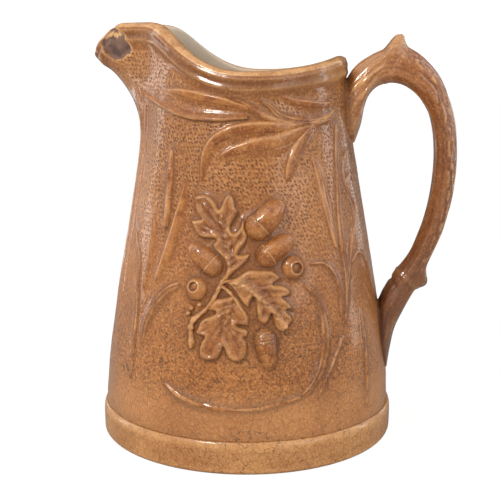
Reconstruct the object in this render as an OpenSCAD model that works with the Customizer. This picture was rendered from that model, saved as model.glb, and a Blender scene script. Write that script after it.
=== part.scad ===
// Relief-moulded stoneware jug with oak leaves, acorns and a branch handle.
// Frame: +Z up, origin at the middle of the foot ring on the table.
// The spout points to -X, the handle to +X, the front panel faces -Y.

/* [Foot] */
// Diameter of the foot band at its widest
foot_d = 150.4; // [136:0.2:170]
// Height of the plain foot band
foot_h = 16; // [12:0.5:22]
// Radius of the rounded bottom edge of the foot band
foot_round = 2.5; // [1:0.5:4]
// Step from the foot band in to the wall above it
foot_ledge = 0.6; // [0.2:0.1:1.5]
// Width of the flat ring that the jug stands on
foot_ring_w = 9; // [6:0.5:14]
// Depth of the shallow recess under the floor
foot_recess = 1.5; // [0.5:0.5:3]
// Thickness of the floor
floor_t = 7; // [5:0.5:9]
// Radius of the cove between the floor and the wall
floor_cove = 3; // [1:0.5:4]

/* [Body] */
// Thickness of the wall
wall_t = 5.5; // [4:0.25:7]
// Outside diameter of the neck at the height of the low part of the rim
neck_d = 97.6; // [88:0.2:108]
// Lean of the wall from upright just above the foot, degrees
foot_lean = 4; // [2:0.5:6]
// Lean of the wall from upright at the neck, degrees
neck_lean = 5.7; // [3:0.1:8]

/* [Rim and spout] */
// Height of the lowest part of the rim
rim_z = 185.5; // [176:0.5:200]
// Rise of the rim at the handle
handle_side_rise = 7; // [4:0.5:12]
// Rise of the rim on both sides of the spout
spout_rise = 23; // [16:0.5:26]
// Dip of the rim at the tip of the spout
nose_dip = 12.5; // [8:0.5:15]
// Reach of the spout beyond the round neck
spout_reach = 28.5; // [22:0.5:36]
// Height from the low part of the rim down to where the spout begins
spout_drop = 40; // [30:1:50]
// Half-angle over which the spout spreads at the rim, degrees
spout_spread = 16.5; // [14:0.5:20]
// Height of the rolled collar under the rim
collar_h = 11; // [8:0.5:13]
// How far the collar stands out of the neck
collar_out = 2.2; // [1:0.1:3.5]
// Height of the rounded lip
lip_h = 2.4; // [1.5:0.1:3.5]

/* [Handle] */
// Reach of the handle beyond the wall
handle_reach = 52.5; // [44:0.5:60]
// Thickness of the grip, from its outer to its inner edge
grip_t = 11.4; // [9:0.1:15]
// Width of the grip
grip_w = 14.5; // [11:0.5:18]
// Width of the handle's roots on the wall
root_w = 22; // [18:0.5:26]
// Rise of the handle's arch above the low part of the rim
arch_rise = 12; // [6:0.5:16]
// Height of the end of the lower root above the foot band
tail_z = 15; // [10:0.5:22]
// Height of the cut twig on top of the arch
knop_h = 6; // [3:0.5:8]
// Height of the cut twig low on the outside of the grip
stub_h = 4; // [2:0.5:6]

/* [Ornament] */
// Height of the hub of the oak spray above the middle of the panel
spray_z = 3; // [-1:0.5:7]
// Height from the low part of the rim down to the fork of the neck branch
fork_drop = 25.5; // [24:0.5:29]
// Turn of the ornament from the middle of the panel towards the spout, degrees
ornament_turn = 5; // [2:0.5:7]
// Height of the oak leaves above the wall
leaf_h = 2.6; // [1.5:0.1:4]
// Height of the low leaves, reeds and frame above the wall
low_h = 1.3; // [0.8:0.1:2]
// Height of the bulrush above the wall
rush_h = 2.1; // [1:0.1:3]
// Radius of the large acorn's cup
acorn_r = 6.6; // [5:0.1:7]
// Radius of the empty cups
cup_r = 5.4; // [3.5:0.1:5.8]
// Gap between an applied piece and the wall that it is set on
seat_gap = 0.15; // [0.1:0.05:0.3]

/* [Hidden] */
$fn = 72;

glaze = "#9a6b3a";
glaze_dark = "#7d4f28";
glaze_pale = "#b98a4e";

// Radius of the arc on which the widths of the ornament are measured
panel_r = 64;
foot_r = foot_d / 2;
wall_base_r = foot_r - 1;
neck_r = neck_d / 2;
arch_z = rim_z + arch_rise;
tail_end_z = foot_h + tail_z;
fork_z = rim_z - fork_drop;
spout_z = rim_z - spout_drop;
nose_z = rim_z + spout_rise - nose_dip - lip_h;

// The panel runs from the foot band to the fork of the neck branch. Places in the
// ornament's lists are in hundredths of its height, so the ornament grows with it.
panel_h = fork_z - foot_h;
unit = panel_h / 100;
hub_z = foot_h + panel_h / 2 + spray_z;
// Height of the panel for which the radii of the acorns and cups are given
drawn_panel_h = 144;
growth = panel_h / drawn_panel_h;

// Small helpers
function clamp01(t) = min(1, max(0, t));
function mix(a, b, t) = a + (b - a) * t;
function ease(t) = let (c = clamp01(t)) c * c * (3 - 2 * c);

// Point on a smooth curve through the rows of a list, t from 0 to 1
function along(p, t) =
  let (
    n = len(p) - 1,
    i = min(n - 1, floor(t * n)),
    f = t * n - i,
    a = p[max(0, i - 1)],
    b = p[i],
    c = p[i + 1],
    d = p[min(n, i + 2)]
  )
  b + f / 2 * (c - a + f * (2 * a - 5 * b + 4 * c - d + f * (3 * (b - c) + d - a)));

// Radius of the round wall at height z: one cubic from the foot to the neck
function round_r(z) =
  let (
    h = rim_z - foot_h,
    t = (z - foot_h) / h,
    s = clamp01(t),
    m0 = -h * tan(foot_lean),
    m1 = -h * tan(neck_lean)
  )
  mix(wall_base_r, neck_r, ease(s))
  + m0 * s * (1 - s) * (1 - s) - m1 * s * s * (1 - s)
  + (t > 1 ? m1 * (t - 1) : t < 0 ? m0 * t : 0);

// Height of the rim; turn is the angle from the spout, 180 at the handle
function rim_at(turn) =
  rim_z
  + spout_rise * ease(pow(clamp01((95 - turn) / 73), 1.2))
  - nose_dip * (1 - ease(turn / 12))
  + handle_side_rise * ease((turn - 100) / 80);

// How far the spout stands out of the round wall
function spout_out(turn, z) =
  let (
    rise = clamp01((z - spout_z) / (nose_z - spout_z)),
    spread = spout_spread * mix(1.7, 1, rise)
  )
  spout_reach * rise * rise * exp(-pow(turn / spread, 1.7));

// Roll of the collar, at depth d under the rim
function collar(d) = collar_out * sqrt(max(0, sin(180 * clamp01(d / collar_h))));

function neck_wall_r(turn, z) = round_r(z) + spout_out(turn, z);
function outer_r(turn, z) = neck_wall_r(turn, z) + collar(rim_at(turn) - z);
function inner_r(turn, z) = neck_wall_r(turn, z) - wall_t - 0.08 * spout_out(turn, z);

// Places on the front panel: u is measured round the wall from the middle of the
// panel towards the handle, v is the height, h the height above the wall
function panel_turn(u) = 90 - ornament_turn + u / panel_r * 180 / PI;
function on_panel(u, v, h) =
  let (turn = panel_turn(u), r = outer_r(turn, v) + seat_gap + h)
  [-r * cos(turn), -r * sin(turn), v];

// Faces of a tube: rings of k points, closed by pairing the points of each end ring
function tube_faces(rings, k) = concat(
  [for (i = [0:rings - 2]) for (j = [0:k - 1]) for (half = [0, 1])
    let (a = i * k + j, b = i * k + (j + 1) % k)
    half == 0 ? [a, a + k, b + k] : [a, b + k, b]],
  [for (e = [0, rings - 1]) for (j = [0:k / 2 - 2]) for (half = [0, 1])
    let (
      a = e * k + j,
      b = e * k + k - 1 - j,
      tri = half == 0 ? [a, a + 1, b - 1] : [a, b - 1, b]
    )
    e == 0 ? tri : [tri[2], tri[1], tri[0]]]
);

module tube(rings) {
  k = len(rings[0]);
  polyhedron([for (r = rings) for (p = r) p], tube_faces(len(rings), k));
}

// Foot band and floor, turned in one: a shallow dish with a recessed underside
module foot_base() {
  seat_in = inner_r(90, foot_h);
  floor_z = foot_recess + floor_t;
  recess_r = foot_r - foot_round - foot_ring_w;
  color(glaze_dark)
    rotate_extrude()
      polygon(concat(
        [[0, foot_recess], [recess_r - foot_recess, foot_recess], [recess_r, 0]],
        [for (a = [-90:18:0])
          [foot_r - foot_round + foot_round * cos(a), foot_round + foot_round * sin(a)]],
        [[wall_base_r + foot_ledge, foot_h], [seat_in, foot_h]],
        [for (a = [0:18:90])
          [seat_in - floor_cove + floor_cove * cos(a), floor_z + floor_cove - floor_cove * sin(a)]],
        [[0, floor_z]]
      ));
}

// One moulded half of the body, from the spout seam to the handle seam
body_steps = 38;
body_rows = 8;
row_crowding = 1.35;
collar_rows = [1, 0.94, 0.75, 0.5, 0.28];
lip_steps = 4;

// Angles are closer together at the spout
function body_turn(i) = let (x = i / body_steps) 180 * x - 28 * sin(180 * x);

function body_section(turn) =
  let (
    top = rim_at(turn),
    low = top - collar_h,
    lip_z = top - lip_h,
    heights = concat(
      [for (j = [0:body_rows - 1]) mix(low, foot_h, pow(1 - j / body_rows, row_crowding))],
      [for (c = collar_rows) top - collar_h * c]
    ),
    ro = outer_r(turn, lip_z),
    ri = inner_r(turn, lip_z),
    profile = concat(
      [for (z = heights) [outer_r(turn, z), z]],
      [for (a = [0:lip_steps - 1])
        let (w = 180 * (a + 0.5) / lip_steps)
        [mix(ri, ro, (1 + cos(w)) / 2), lip_z + lip_h * sin(w)]],
      [for (j = [len(heights) - 1:-1:0]) [inner_r(turn, heights[j]), heights[j]]]
    )
  )
  [for (p = profile) [-p[0] * cos(turn), -p[0] * sin(turn), p[1]]];

module body_half() {
  color(glaze)
    tube([for (i = [0:body_steps]) body_section(body_turn(i))]);
}

// Branch handle between an outer and an inner edge. Each row holds the height share
// and the reach of the outer edge, then of the inner edge, then the width share.
// Height shares run from the end of the lower root to the top of the arch; the upper
// root stops a little under the collar.
root_gap = 1;
root_z = rim_z + handle_side_rise - collar_h - root_gap;
root_share = (root_z - tail_end_z) / (arch_z - tail_end_z);
handle_rows = [
  [root_share, 0.01, 0.706, 0.01, 1.00],
  [0.942, 0.12, 0.768, 0.105, 0.95],
  [0.97, 0.25, 0.82, 0.16, 0.80],
  [0.988, 0.37, 0.856, 0.22, 0.40],
  [0.999, 0.49, 0.882, 0.315, 0.10],
  [0.988, 0.635, 0.892, 0.445, 0.00],
  [0.954, 0.78, 0.88, 0.58, 0.00],
  [0.895, 0.92, 0.843, 0.69, 0.00],
  [0.795, 0.995, 0.775, 0.765, 0.00],
  [0.687, 0.985, 0.69, 0.765, 0.00],
  [0.573, 0.905, 0.585, 0.69, 0.00],
  [0.452, 0.755, 0.475, 0.57, 0.00],
  [0.356, 0.58, 0.40, 0.43, 0.00],
  [0.277, 0.43, 0.332, 0.25, 0.10],
  [0.211, 0.285, 0.29, 0.15, 0.35],
  [0.14, 0.145, 0.258, 0.08, 0.65],
  [0.075, 0.07, 0.238, 0.042, 0.75],
  [0.00, 0.01, 0.222, 0.01, 0.60]
];
handle_rings = 40;
ring_points = 12;
knop_at = 0.226;
stub_at = 0.753;
knop_spread = 0.032;
stub_spread = 0.018;
twig_bluntness = 2.4;
// Shares of the length between which the branch has the thickness of the grip
grip_from = 0.38;
grip_to = 0.8;

function handle_edge(share, reach) =
  let (z = mix(tail_end_z, arch_z, share)) [round_r(min(z, rim_z)) + handle_reach * reach, z];

// One bump on the outside of the branch, centred at share c of its length
function twig(t, c, high, spread) = high * exp(-pow(abs(t - c) / spread, twig_bluntness));

// The grip's thickness sets how far its inner edge lies from its outer edge
function handle_ring(t, size) =
  let (
    row = along(handle_rows, t),
    outer = handle_edge(row[0], row[1]),
    shaped = handle_edge(row[2], row[3]),
    grip = ease((t - grip_from) / 0.15) * ease((grip_to - t) / 0.12),
    span = norm(shaped - outer),
    inner = mix(shaped, outer + (shaped - outer) / span * grip_t, grip),
    centre = (outer + inner) / 2,
    reach = outer - centre,
    half_w = mix(grip_w, root_w, row[4]) / 2,
    out = reach / norm(reach)
  )
  [for (j = [0:ring_points - 1])
    let (
      a = 360 * (j + 0.5) / ring_points,
      bump = pow(max(0, cos(a)), 3)
        * (twig(t, knop_at, knop_h, knop_spread) + twig(t, stub_at, stub_h, stub_spread)),
      p = centre + size * (reach * cos(a) + out * bump),
      y = size * half_w * sin(a),
      turn = 180 - asin(abs(y) / norm([p[0], y])),
      seat = outer_r(turn, p[1]) + seat_gap,
      r = max(norm([p[0], y]), seat),
      x = size < 1 || t == 0 || t == 1 ? sqrt(seat * seat - y * y) : sqrt(r * r - y * y)
    )
    [x, y, p[1]]];

module handle() {
  color(glaze_dark)
    tube(concat(
      [handle_ring(0, 0.2), handle_ring(0, 0.6)],
      [for (i = [0:handle_rings]) handle_ring(i / handle_rings, 1)],
      [handle_ring(1, 0.6), handle_ring(1, 0.2)]
    ));
}

// Low strip along points of the panel, rising from a share of its width at the
// start and at the end to its full half-width in the middle
strip_fullness = 0.7;
strip_across = [[0, 0], [-1, 0], [-0.6, 0.8], [0, 1], [0.6, 0.8], [1, 0]];

function strip_rings(p, half_w, high, start, end, steps) =
  [for (i = [0:steps])
    let (
      t = i / steps,
      c = along(p, t),
      ahead = along(p, min(1, t + 0.01)) - along(p, max(0, t - 0.01)),
      side = [-ahead[1], ahead[0]] / norm(ahead),
      share = mix(start, end, t),
      fullness = pow(max(0, sin(180 * t)), strip_fullness),
      w = half_w * unit * mix(share, 1, fullness),
      h = high * mix(sqrt(share), 1, fullness)
    )
    [for (s = strip_across)
      let (q = c - side * w * s[0]) on_panel(q[0], q[1], h * s[1])]];

module strip(p, half_w, high, start = 0.4, end = 0.1, steps = 12) {
  tube(strip_rings(p, half_w, high, start, end, steps));
}

// Places in the lists are taken from the spray's hub or from the fork
function from_hub(p) = [for (q = p) q * unit + [0, hub_z]];
function from_fork(p) = [for (q = p) q * unit + [0, fork_z]];

// Oak leaf: rows of left edge, midrib and right edge, from the stalk to the tip.
// The blade is lowest at its edges and along the midrib.
leaf_across = [
  [-1, 0.35], [-0.8, 0.95], [0, 0.7], [0.8, 0.95], [1, 0.35], [0.5, 0], [0, 0], [-0.5, 0]
];
rings_per_row = 2;

module oak_leaf(rows) {
  steps = rings_per_row * (len(rows) - 1);
  color(glaze_pale)
    tube([for (i = [0:steps])
      let (
        r = along(rows, i / steps),
        left = [r[0], r[1]],
        rib = [r[2], r[3]],
        right = [r[4], r[5]]
      )
      [for (s = leaf_across)
        let (q = s[0] < 0 ? mix(rib, left, -s[0]) : mix(rib, right, s[0]))
        on_panel(q[0] * unit, q[1] * unit + hub_z, leaf_h * s[1])]]);
}

upper_leaf_rows = [
  [1.2, 1, 1.6, 1, 2, 1.2],
  [1.2, 3.4, 2.2, 3.2, 4, 3.2],
  [1.3, 5.4, 2.5, 5, 6.8, 5.4],
  [1.3, 7.2, 2.6, 6.6, 8.8, 8.2],
  [1.2, 8.8, 2.5, 8, 6.4, 8.2],
  [0.2, 9.8, 2.3, 9, 4.6, 8.9],
  [-2.4, 11, 2, 9.8, 5.8, 10.4],
  [-1.8, 12, 1.8, 10.5, 7.2, 12.8],
  [-0.8, 12.1, 1.5, 11.3, 7.4, 15.4],
  [-2.8, 12.7, 1.3, 12, 7.1, 18.4],
  [-6.2, 13.1, 1.1, 12.7, 5.5, 16.8],
  [-9.6, 14.4, 0.9, 13.4, 4.2, 15.8],
  [-11, 17, 0.7, 14.1, 3.2, 15.4],
  [-10.2, 18.6, 0.4, 15, 2.4, 16.6],
  [-7.4, 18.8, 0.1, 16, 2.6, 18.4],
  [-6.4, 19.3, -0.2, 17.2, 3.8, 20.4],
  [-9, 21.4, -0.5, 18.6, 5, 22],
  [-10.4, 24.6, -0.8, 20, 4.1, 24.2],
  [-9, 26.8, -1, 21.2, 3.2, 26.3],
  [-4.6, 26.6, -1.2, 22.2, 1.2, 27.2],
  [-1.9, 23.6, -1.3, 22.6, -0.5, 24]
];
right_leaf_rows = [
  [4, 0.4, 3.6, -0.3, 3.4, -1],
  [6.4, 1.6, 5.4, -0.9, 4.6, -3.6],
  [8.4, 3.2, 7.2, -1.6, 6.2, -6.2],
  [11.5, 3.6, 8.8, -2.6, 8.6, -8.2],
  [15.4, 3.4, 10.2, -3.7, 9.9, -7],
  [18.8, 1.5, 11.4, -4.9, 10.4, -6.4],
  [17, -0.2, 12.6, -6.1, 10.6, -9],
  [16.4, -1.6, 13.7, -7.4, 11.2, -12],
  [19.2, -2.4, 14.7, -8.7, 13.3, -13.2],
  [21.4, -4, 15.7, -10, 14.9, -12.6],
  [19.7, -6.2, 16.7, -11.3, 15.8, -12.2],
  [19.6, -7.4, 17.7, -12.6, 16.5, -14.4],
  [22, -8.8, 18.4, -13.6, 17.4, -16.2],
  [20.8, -11.2, 19, -14.6, 18.4, -17],
  [21.2, -14, 19.5, -15.5, 19.2, -17],
  [20.2, -16.2, 19.9, -16.4, 19.7, -16.7]
];
lower_leaf_rows = [
  [4.1, -4, 3.6, -4.2, 3, -4.3],
  [5.2, -5.8, 3.5, -5.6, 0.8, -5.2],
  [6.4, -7.8, 3.3, -7, -0.9, -5.9],
  [7.5, -9.8, 3.1, -8.4, -2.4, -9],
  [8.1, -11.8, 2.9, -9.8, -1.6, -10.2],
  [8, -13.8, 2.7, -11, -1.5, -10.9],
  [6.4, -14, 2.5, -12.2, -4.6, -12.4],
  [5.3, -14.5, 2.3, -13.4, -6.6, -14.6],
  [7.4, -16, 2.1, -14.6, -7.4, -17.2],
  [8.5, -17.4, 1.9, -15.8, -5.4, -18.1],
  [6.8, -18.1, 1.8, -16.8, -4.8, -18.9],
  [8.2, -20.4, 1.6, -17.8, -6.2, -21.4],
  [8.2, -23.8, 1.5, -18.8, -6.2, -25.2],
  [5.8, -26.7, 1.4, -19.6, -2.4, -25.6],
  [3, -25, 1.3, -20.2, -0.2, -24.2],
  [1.7, -21.2, 1.3, -20.6, 0.9, -21]
];

// Stalk of the spray, from its hub down to its cut end
stalk_half_w = 0.9;
stalk_points = [
  [0.4, 0.2], [-0.8, -2.6], [-2.3, -5.8], [-4, -8.5], [-6.2, -10.9], [-8.3, -12.8], [-9.3, -15],
  [-9.2, -18], [-8.7, -22]
];

module spray_stem() {
  color(glaze_dark)
    strip(from_hub(stalk_points), stalk_half_w, leaf_h, 0.9, 0.8, 16);
}

// Round wall, a seat gap larger, that the acorns are cut to
core_steps = 18;

module wall_core() {
  rotate_extrude($fn = 240)
    polygon(concat(
      [[0, foot_h]],
      [for (i = [0:core_steps])
        let (z = foot_h + panel_h * i / core_steps) [round_r(z) + seat_gap, z]],
      [[0, fork_z]]
    ));
}

// Puts a piece on the round wall: its X runs along the wall, its Z stands out of it
module seated(u, v, lift) {
  z = v * unit + hub_z;
  lean = atan(round_r(z - 0.5) - round_r(z + 0.5));
  difference() {
    rotate([0, 0, panel_turn(u * unit) - 90])
      translate([0, -round_r(z), z])
        rotate([90 - lean, 0, 0])
          translate([0, 0, lift])
            children();
    wall_core();
  }
}

// Acorn from its stalk end to its tip: a round cup, then the pointed nut
cup_share = 0.33;
nut_share = 0.94;
nut_round = 0.65;
acorn_lift = 0.2;

module acorn(from, to, share) {
  span = to - from;
  length = norm(span) * unit;
  r = acorn_r * share * growth;
  cup_l = cup_share * length;
  nut_l = length - cup_l;
  color(glaze)
    seated(from[0], from[1], -acorn_lift * r)
      rotate([0, 0, atan2(span[1], span[0])])
        rotate([0, 90, 0])
          rotate_extrude()
            polygon(concat(
              [[0, 0]],
              [for (a = [18:18:90]) [r * sin(a), cup_l * (1 - cos(a)) * 0.9]],
              [[r, cup_l]],
              [for (a = [0:10:80]) [r * nut_share * pow(cos(a), nut_round), cup_l + nut_l * 0.95 * sin(a)]],
              [[0, length]]
            ));
}

// Empty cup seen from its open end: a round ring with a hollow
module empty_cup(at) {
  r = cup_r * growth;
  lip = r * 0.62;
  hollow = r * 0.48;
  high = r * 0.7;
  bottom = r * 0.25;
  color(glaze)
    seated(at[0], at[1], 0)
      rotate_extrude()
        polygon(concat(
          [[0, -1], [r, -1]],
          [for (a = [0:15:75]) [lip + (r - lip) * cos(a), high * sin(a)]],
          [[lip, high], [hollow, high * 0.9], [hollow, bottom], [0, bottom]]
        ));
}

acorn_ends = [
  [[8.8, 13], [19.8, 24.4]],
  [[12.7, 5.8], [22.9, 13.5]],
  [[-0.3, 2], [-11, 10.8]],
  [[12.8, -15], [14.7, -28.6]]
];
acorn_sizes = [1, 0.85, 0.84, 0.82];
empty_cups = [[-8.3, -3.4], [23, 3.6]];

// Scrolled vine that frames the spray, open at the top
module frame_vine() {
  color(glaze_pale) {
    strip(from_hub([[-14.6, -2.4], [-19.4, -4.9], [-24.3, -10.4], [-27.5, -17.4], [-28.2, -24]]),
          1.7, low_h, 0.3, 0.3);
    strip(from_hub([[-17.4, -34.7], [-12.8, -37.9], [-4.9, -40.3], [7.4, -41.3], [16, -39.9],
                    [23.3, -38.2]]),
          1, low_h, 0.3, 0.5, 14);
    strip(from_hub([[24.6, -37.6], [28, -34], [31, -29], [32.8, -22], [33, -14], [31.4, -6.6],
                    [26.8, -1.8]]),
          1.2, low_h, 0.5, 0.2, 14);
  }
}

// Branch round the neck with its long leaves
module neck_leaves() {
  color(glaze_pale) {
    strip(from_fork([[49, 4.2], [44, 2.3], [38, 1.5], [31, 1.7], [25, 2.4], [20.5, 4], [17.5, 6.4],
                     [13.2, 8.9]]),
          1.1, low_h, 0.9, 0.25, 14);
    strip(from_fork([[9.5, 3.4], [2, 3.2], [-6, 3.2], [-13, 3.8], [-20, 5], [-28, 6.6], [-35, 8],
                     [-41.5, 9.2], [-47.5, 10.6]]),
          3, low_h, 0.3, 0.1, 16);
    strip(from_fork([[13.4, 5], [9, 7], [3, 8.8], [-4, 10], [-12, 10.7], [-19, 11.2], [-25.5, 12]]),
          1.7, low_h, 0.3, 0.1, 12);
    strip(from_fork([[29, -0.4], [22, -0.5], [14, -0.4], [6, -0.9], [0, -2.3], [-4.6, -4.6], [-7.4, -8.2],
                     [-8.6, -12.4], [-8.8, -17]]),
          2.5, low_h, 0.3, 0.1, 16);
    strip(from_fork([[25, -4.1], [20, -5.4], [13, -6.6], [6, -7.9], [0, -9.5], [-4, -11]]),
          2.3, low_h, 0.3, 0.1, 10);
    strip(from_fork([[31.4, -2.9], [28.6, -6], [26.2, -9.4], [24.4, -13], [23, -17]]),
          1.9, low_h, 0.4, 0.3, 8);
    strip(from_fork([[47, 6.6], [41, 6.5], [34, 6.9], [28, 7.9], [22.5, 9.4]]), 1.5, low_h, 0.6, 0.1, 8);
  }
}

// Bulrush and blades at the spout end, blades and stems at the handle end
module side_reeds() {
  color(glaze_pale) {
    strip(from_hub([[-23, 15.4], [-23.3, 27.8], [-23.9, 40.3]]), 2.6, rush_h, 0.5, 0.4, 8);
    strip(from_hub([[-15.4, 30], [-16.8, 21], [-19.2, 11], [-21.6, 4], [-24, -1.6]]),
          2.3, low_h, 0.1, 0.4, 10);
    strip(from_hub([[-30.4, 19], [-28.9, 13], [-28.4, 7], [-28.8, 1], [-30, -6]]), 1.8, low_h, 0.1, 0.4, 8);
    strip(from_hub([[-39.6, 13], [-38.4, 8.4], [-35.2, 3.4], [-33.6, -6], [-32.4, -19.4], [-32.2, -36.1]]),
          1, low_h, 0.5, 0.6, 14);
    strip(from_hub([[34.7, 38.5], [37.5, 30.9], [39.6, 20.1], [41.9, 8.3]]), 2.2, low_h, 0.1, 0.4, 10);
    strip(from_hub([[29.2, 4.2], [35.1, 3.8], [38.9, 0.4], [40.7, -5.6], [40.1, -13.9]]),
          1, low_h, 0.3, 0.5, 12);
    strip(from_hub([[39.6, -21.2], [35.1, -28.8], [32.4, -33.3], [29.2, -39.2]]), 1, low_h, 0.6, 0.4, 8);
    strip(from_hub([[50.4, 47.8], [47.8, 36.4], [45.6, 23.4], [44.6, 8.7], [44.8, 0.3], [43.9, -9],
                    [42, -16.5]]),
          1, low_h, 0.5, 0.4, 14);
    strip(from_hub([[56, 19.3], [53, 14.4], [50, 9], [48, 3.6]]), 1.9, low_h, 0.3, 0.3, 8);
  }
}

// Every applied piece of one panel, by name
module panel_piece(piece) {
  if (piece == "oak_leaf_upper") oak_leaf(upper_leaf_rows);
  if (piece == "oak_leaf_right") oak_leaf(right_leaf_rows);
  if (piece == "oak_leaf_lower") oak_leaf(lower_leaf_rows);
  if (piece == "spray_stem") spray_stem();
  if (piece == "acorn_upper") acorn(acorn_ends[0][0], acorn_ends[0][1], acorn_sizes[0]);
  if (piece == "acorn_middle") acorn(acorn_ends[1][0], acorn_ends[1][1], acorn_sizes[1]);
  if (piece == "acorn_left") acorn(acorn_ends[2][0], acorn_ends[2][1], acorn_sizes[2]);
  if (piece == "acorn_lower") acorn(acorn_ends[3][0], acorn_ends[3][1], acorn_sizes[3]);
  if (piece == "empty_cup_left") empty_cup(empty_cups[0]);
  if (piece == "empty_cup_right") empty_cup(empty_cups[1]);
  if (piece == "frame_vine") frame_vine();
  if (piece == "neck_leaves") neck_leaves();
  if (piece == "side_reeds") side_reeds();
}

// The back panel is the mirror image of the front one
module panel(side, piece) {
  if (side == "front") panel_piece(piece);
  if (side == "back") mirror([0, 1, 0]) panel_piece(piece);
}

foot_base();
body_half();  // body_front_half
mirror([0, 1, 0]) body_half();  // body_back_half
handle();
for (side = ["front", "back"]) {
  panel(side, "oak_leaf_upper");
  panel(side, "oak_leaf_right");
  panel(side, "oak_leaf_lower");
  panel(side, "spray_stem");
  panel(side, "acorn_upper");
  panel(side, "acorn_middle");
  panel(side, "acorn_left");
  panel(side, "acorn_lower");
  panel(side, "empty_cup_left");
  panel(side, "empty_cup_right");
  panel(side, "frame_vine");
  panel(side, "neck_leaves");
  panel(side, "side_reeds");
}
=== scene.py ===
from functools import partial

import bpy
import numpy as np
from mathutils import Matrix, Vector


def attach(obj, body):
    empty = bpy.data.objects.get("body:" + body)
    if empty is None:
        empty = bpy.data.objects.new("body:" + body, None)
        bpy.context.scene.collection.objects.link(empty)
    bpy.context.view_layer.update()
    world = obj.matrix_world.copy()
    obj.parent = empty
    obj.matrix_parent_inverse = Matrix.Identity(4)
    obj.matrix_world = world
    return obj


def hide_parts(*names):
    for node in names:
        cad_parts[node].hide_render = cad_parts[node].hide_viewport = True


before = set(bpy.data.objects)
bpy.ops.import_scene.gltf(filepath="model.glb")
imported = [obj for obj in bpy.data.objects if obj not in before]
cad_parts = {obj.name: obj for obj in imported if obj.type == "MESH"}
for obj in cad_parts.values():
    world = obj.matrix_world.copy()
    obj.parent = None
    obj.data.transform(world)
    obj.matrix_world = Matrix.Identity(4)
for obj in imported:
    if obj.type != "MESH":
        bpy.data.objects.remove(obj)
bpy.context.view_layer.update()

print("frame loaded:", len(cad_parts), "nodes")

# Lengths are in mm and angles in degrees until a mesh is made.
# A turn is the angle round the jug from the spout, 180 at the handle.
jug = {
    "footR": 75.2, "footH": 16.0, "footRound": 2.5, "ringW": 9.0, "recess": 1.5,
    "floorT": 7.0, "cove": 3.0, "wallT": 5.5, "wallBaseR": 74.2, "neckR": 48.8,
    "footLean": 4.0, "neckLean": 5.7, "rimZ": 185.5, "handleSideRise": 7.0, "spoutRise": 23.0,
    "spoutTurn": 95, "spoutSweep": 73, "spoutBend": 1.2, "handleTurn": 100, "handleSweep": 80,
    "noseDip": 12.5, "noseTurn": 12, "spoutReach": 28.5, "spoutZ": 145.5, "noseZ": 193.6,
    "spoutSpread": 16.5, "spoutFoot": 1.7, "spoutFall": 1.7, "spoutInside": 0.92,
    "collarH": 11.0, "collarOut": 2.2, "lipH": 2.4, "handleReach": 52.5, "gripT": 11.4,
    "gripW": 14.5, "rootW": 22.0, "archZ": 197.5, "tailZ": 31.0,
    "panelR": 64.0, "ornamentTurn": 5.0, "hubZ": 91.0, "forkZ": 160.0, "unit": 1.44,
}
mirrorBack = np.array([1.0, -1.0, 1.0])


# Held between 0 and 1; from a to b by a share; a smooth step; a bell curve; a sum of bell curves
def clamp01(t):
    return np.clip(t, 0.0, 1.0)


def mix(a, b, t):
    return a + (b - a) * t


def ease(t):
    c = clamp01(t)
    return c * c * (3 - 2 * c)


def bell(x, spread):
    return np.exp(-(x / spread) ** 2)


def bells(x, rows):
    return sum(rise * bell(x - at, spread) for at, rise, spread in rows)


# Angles of n places round a circle; lengths of vectors; unit vectors across a flat path
def circle(n):
    return np.linspace(0, 2 * np.pi, n, endpoint=False)


def lengths(v):
    return np.hypot(*np.moveaxis(v, -1, 0))


def sideways(path):
    ahead = np.gradient(path, axis=0)
    return np.stack([-ahead[:, 1], ahead[:, 0]], -1) / lengths(ahead)[:, None]


# Smooth curve through the rows of a list, at shares t of its length: a Catmull-Rom cubic from row to row
def along(rows, t):
    p = np.asarray(rows, float)
    n = len(p) - 1
    i = np.minimum(n - 1, np.floor(np.asarray(t) * n).astype(int))
    f = (np.asarray(t) * n - i)[..., None]
    a, b, c, d = p[np.maximum(i - 1, 0)], p[i], p[i + 1], p[np.minimum(i + 2, n)]
    return b + f / 2 * (c - a + f * (2 * a - 5 * b + 4 * c - d + f * (3 * (b - c) + d - a)))


# Irregular smooth field from -1 to 1: seven seeded plane waves of about one wavelength
def ripple(x, y, seed, wave):
    rng = np.random.default_rng(seed)
    turns = rng.uniform(0, 2 * np.pi, 7)
    phases = rng.uniform(0, 2 * np.pi, 7)
    waves = wave * rng.uniform(0.7, 1.5, 7)
    total = sum(
        np.sin(2 * np.pi * (x * np.cos(a) + y * np.sin(a)) / w + p)
        for a, p, w in zip(turns, phases, waves)
    )
    return total / 3.5


# Round wall: one cubic from the foot to the neck, leaning at both ends
def roundR(z):
    h = jug["rimZ"] - jug["footH"]
    t = (z - jug["footH"]) / h
    s = clamp01(t)
    low, high = (-h * np.tan(np.radians(jug[k])) for k in ("footLean", "neckLean"))
    wall = mix(jug["wallBaseR"], jug["neckR"], ease(s)) + low * s * (1 - s) ** 2 - high * s * s * (1 - s)
    return wall + high * np.maximum(t - 1, 0) + low * np.minimum(t, 0)


# Height of the rim: it sweeps up to the spout, dips at the nose and rises a little to the handle
def rimAt(turn):
    sweep = clamp01((jug["spoutTurn"] - turn) / jug["spoutSweep"]) ** jug["spoutBend"]
    dip = jug["noseDip"] * (1 - ease(turn / jug["noseTurn"]))
    lift = jug["handleSideRise"] * ease((turn - jug["handleTurn"]) / jug["handleSweep"])
    return jug["rimZ"] + jug["spoutRise"] * ease(sweep) - dip + lift


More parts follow.
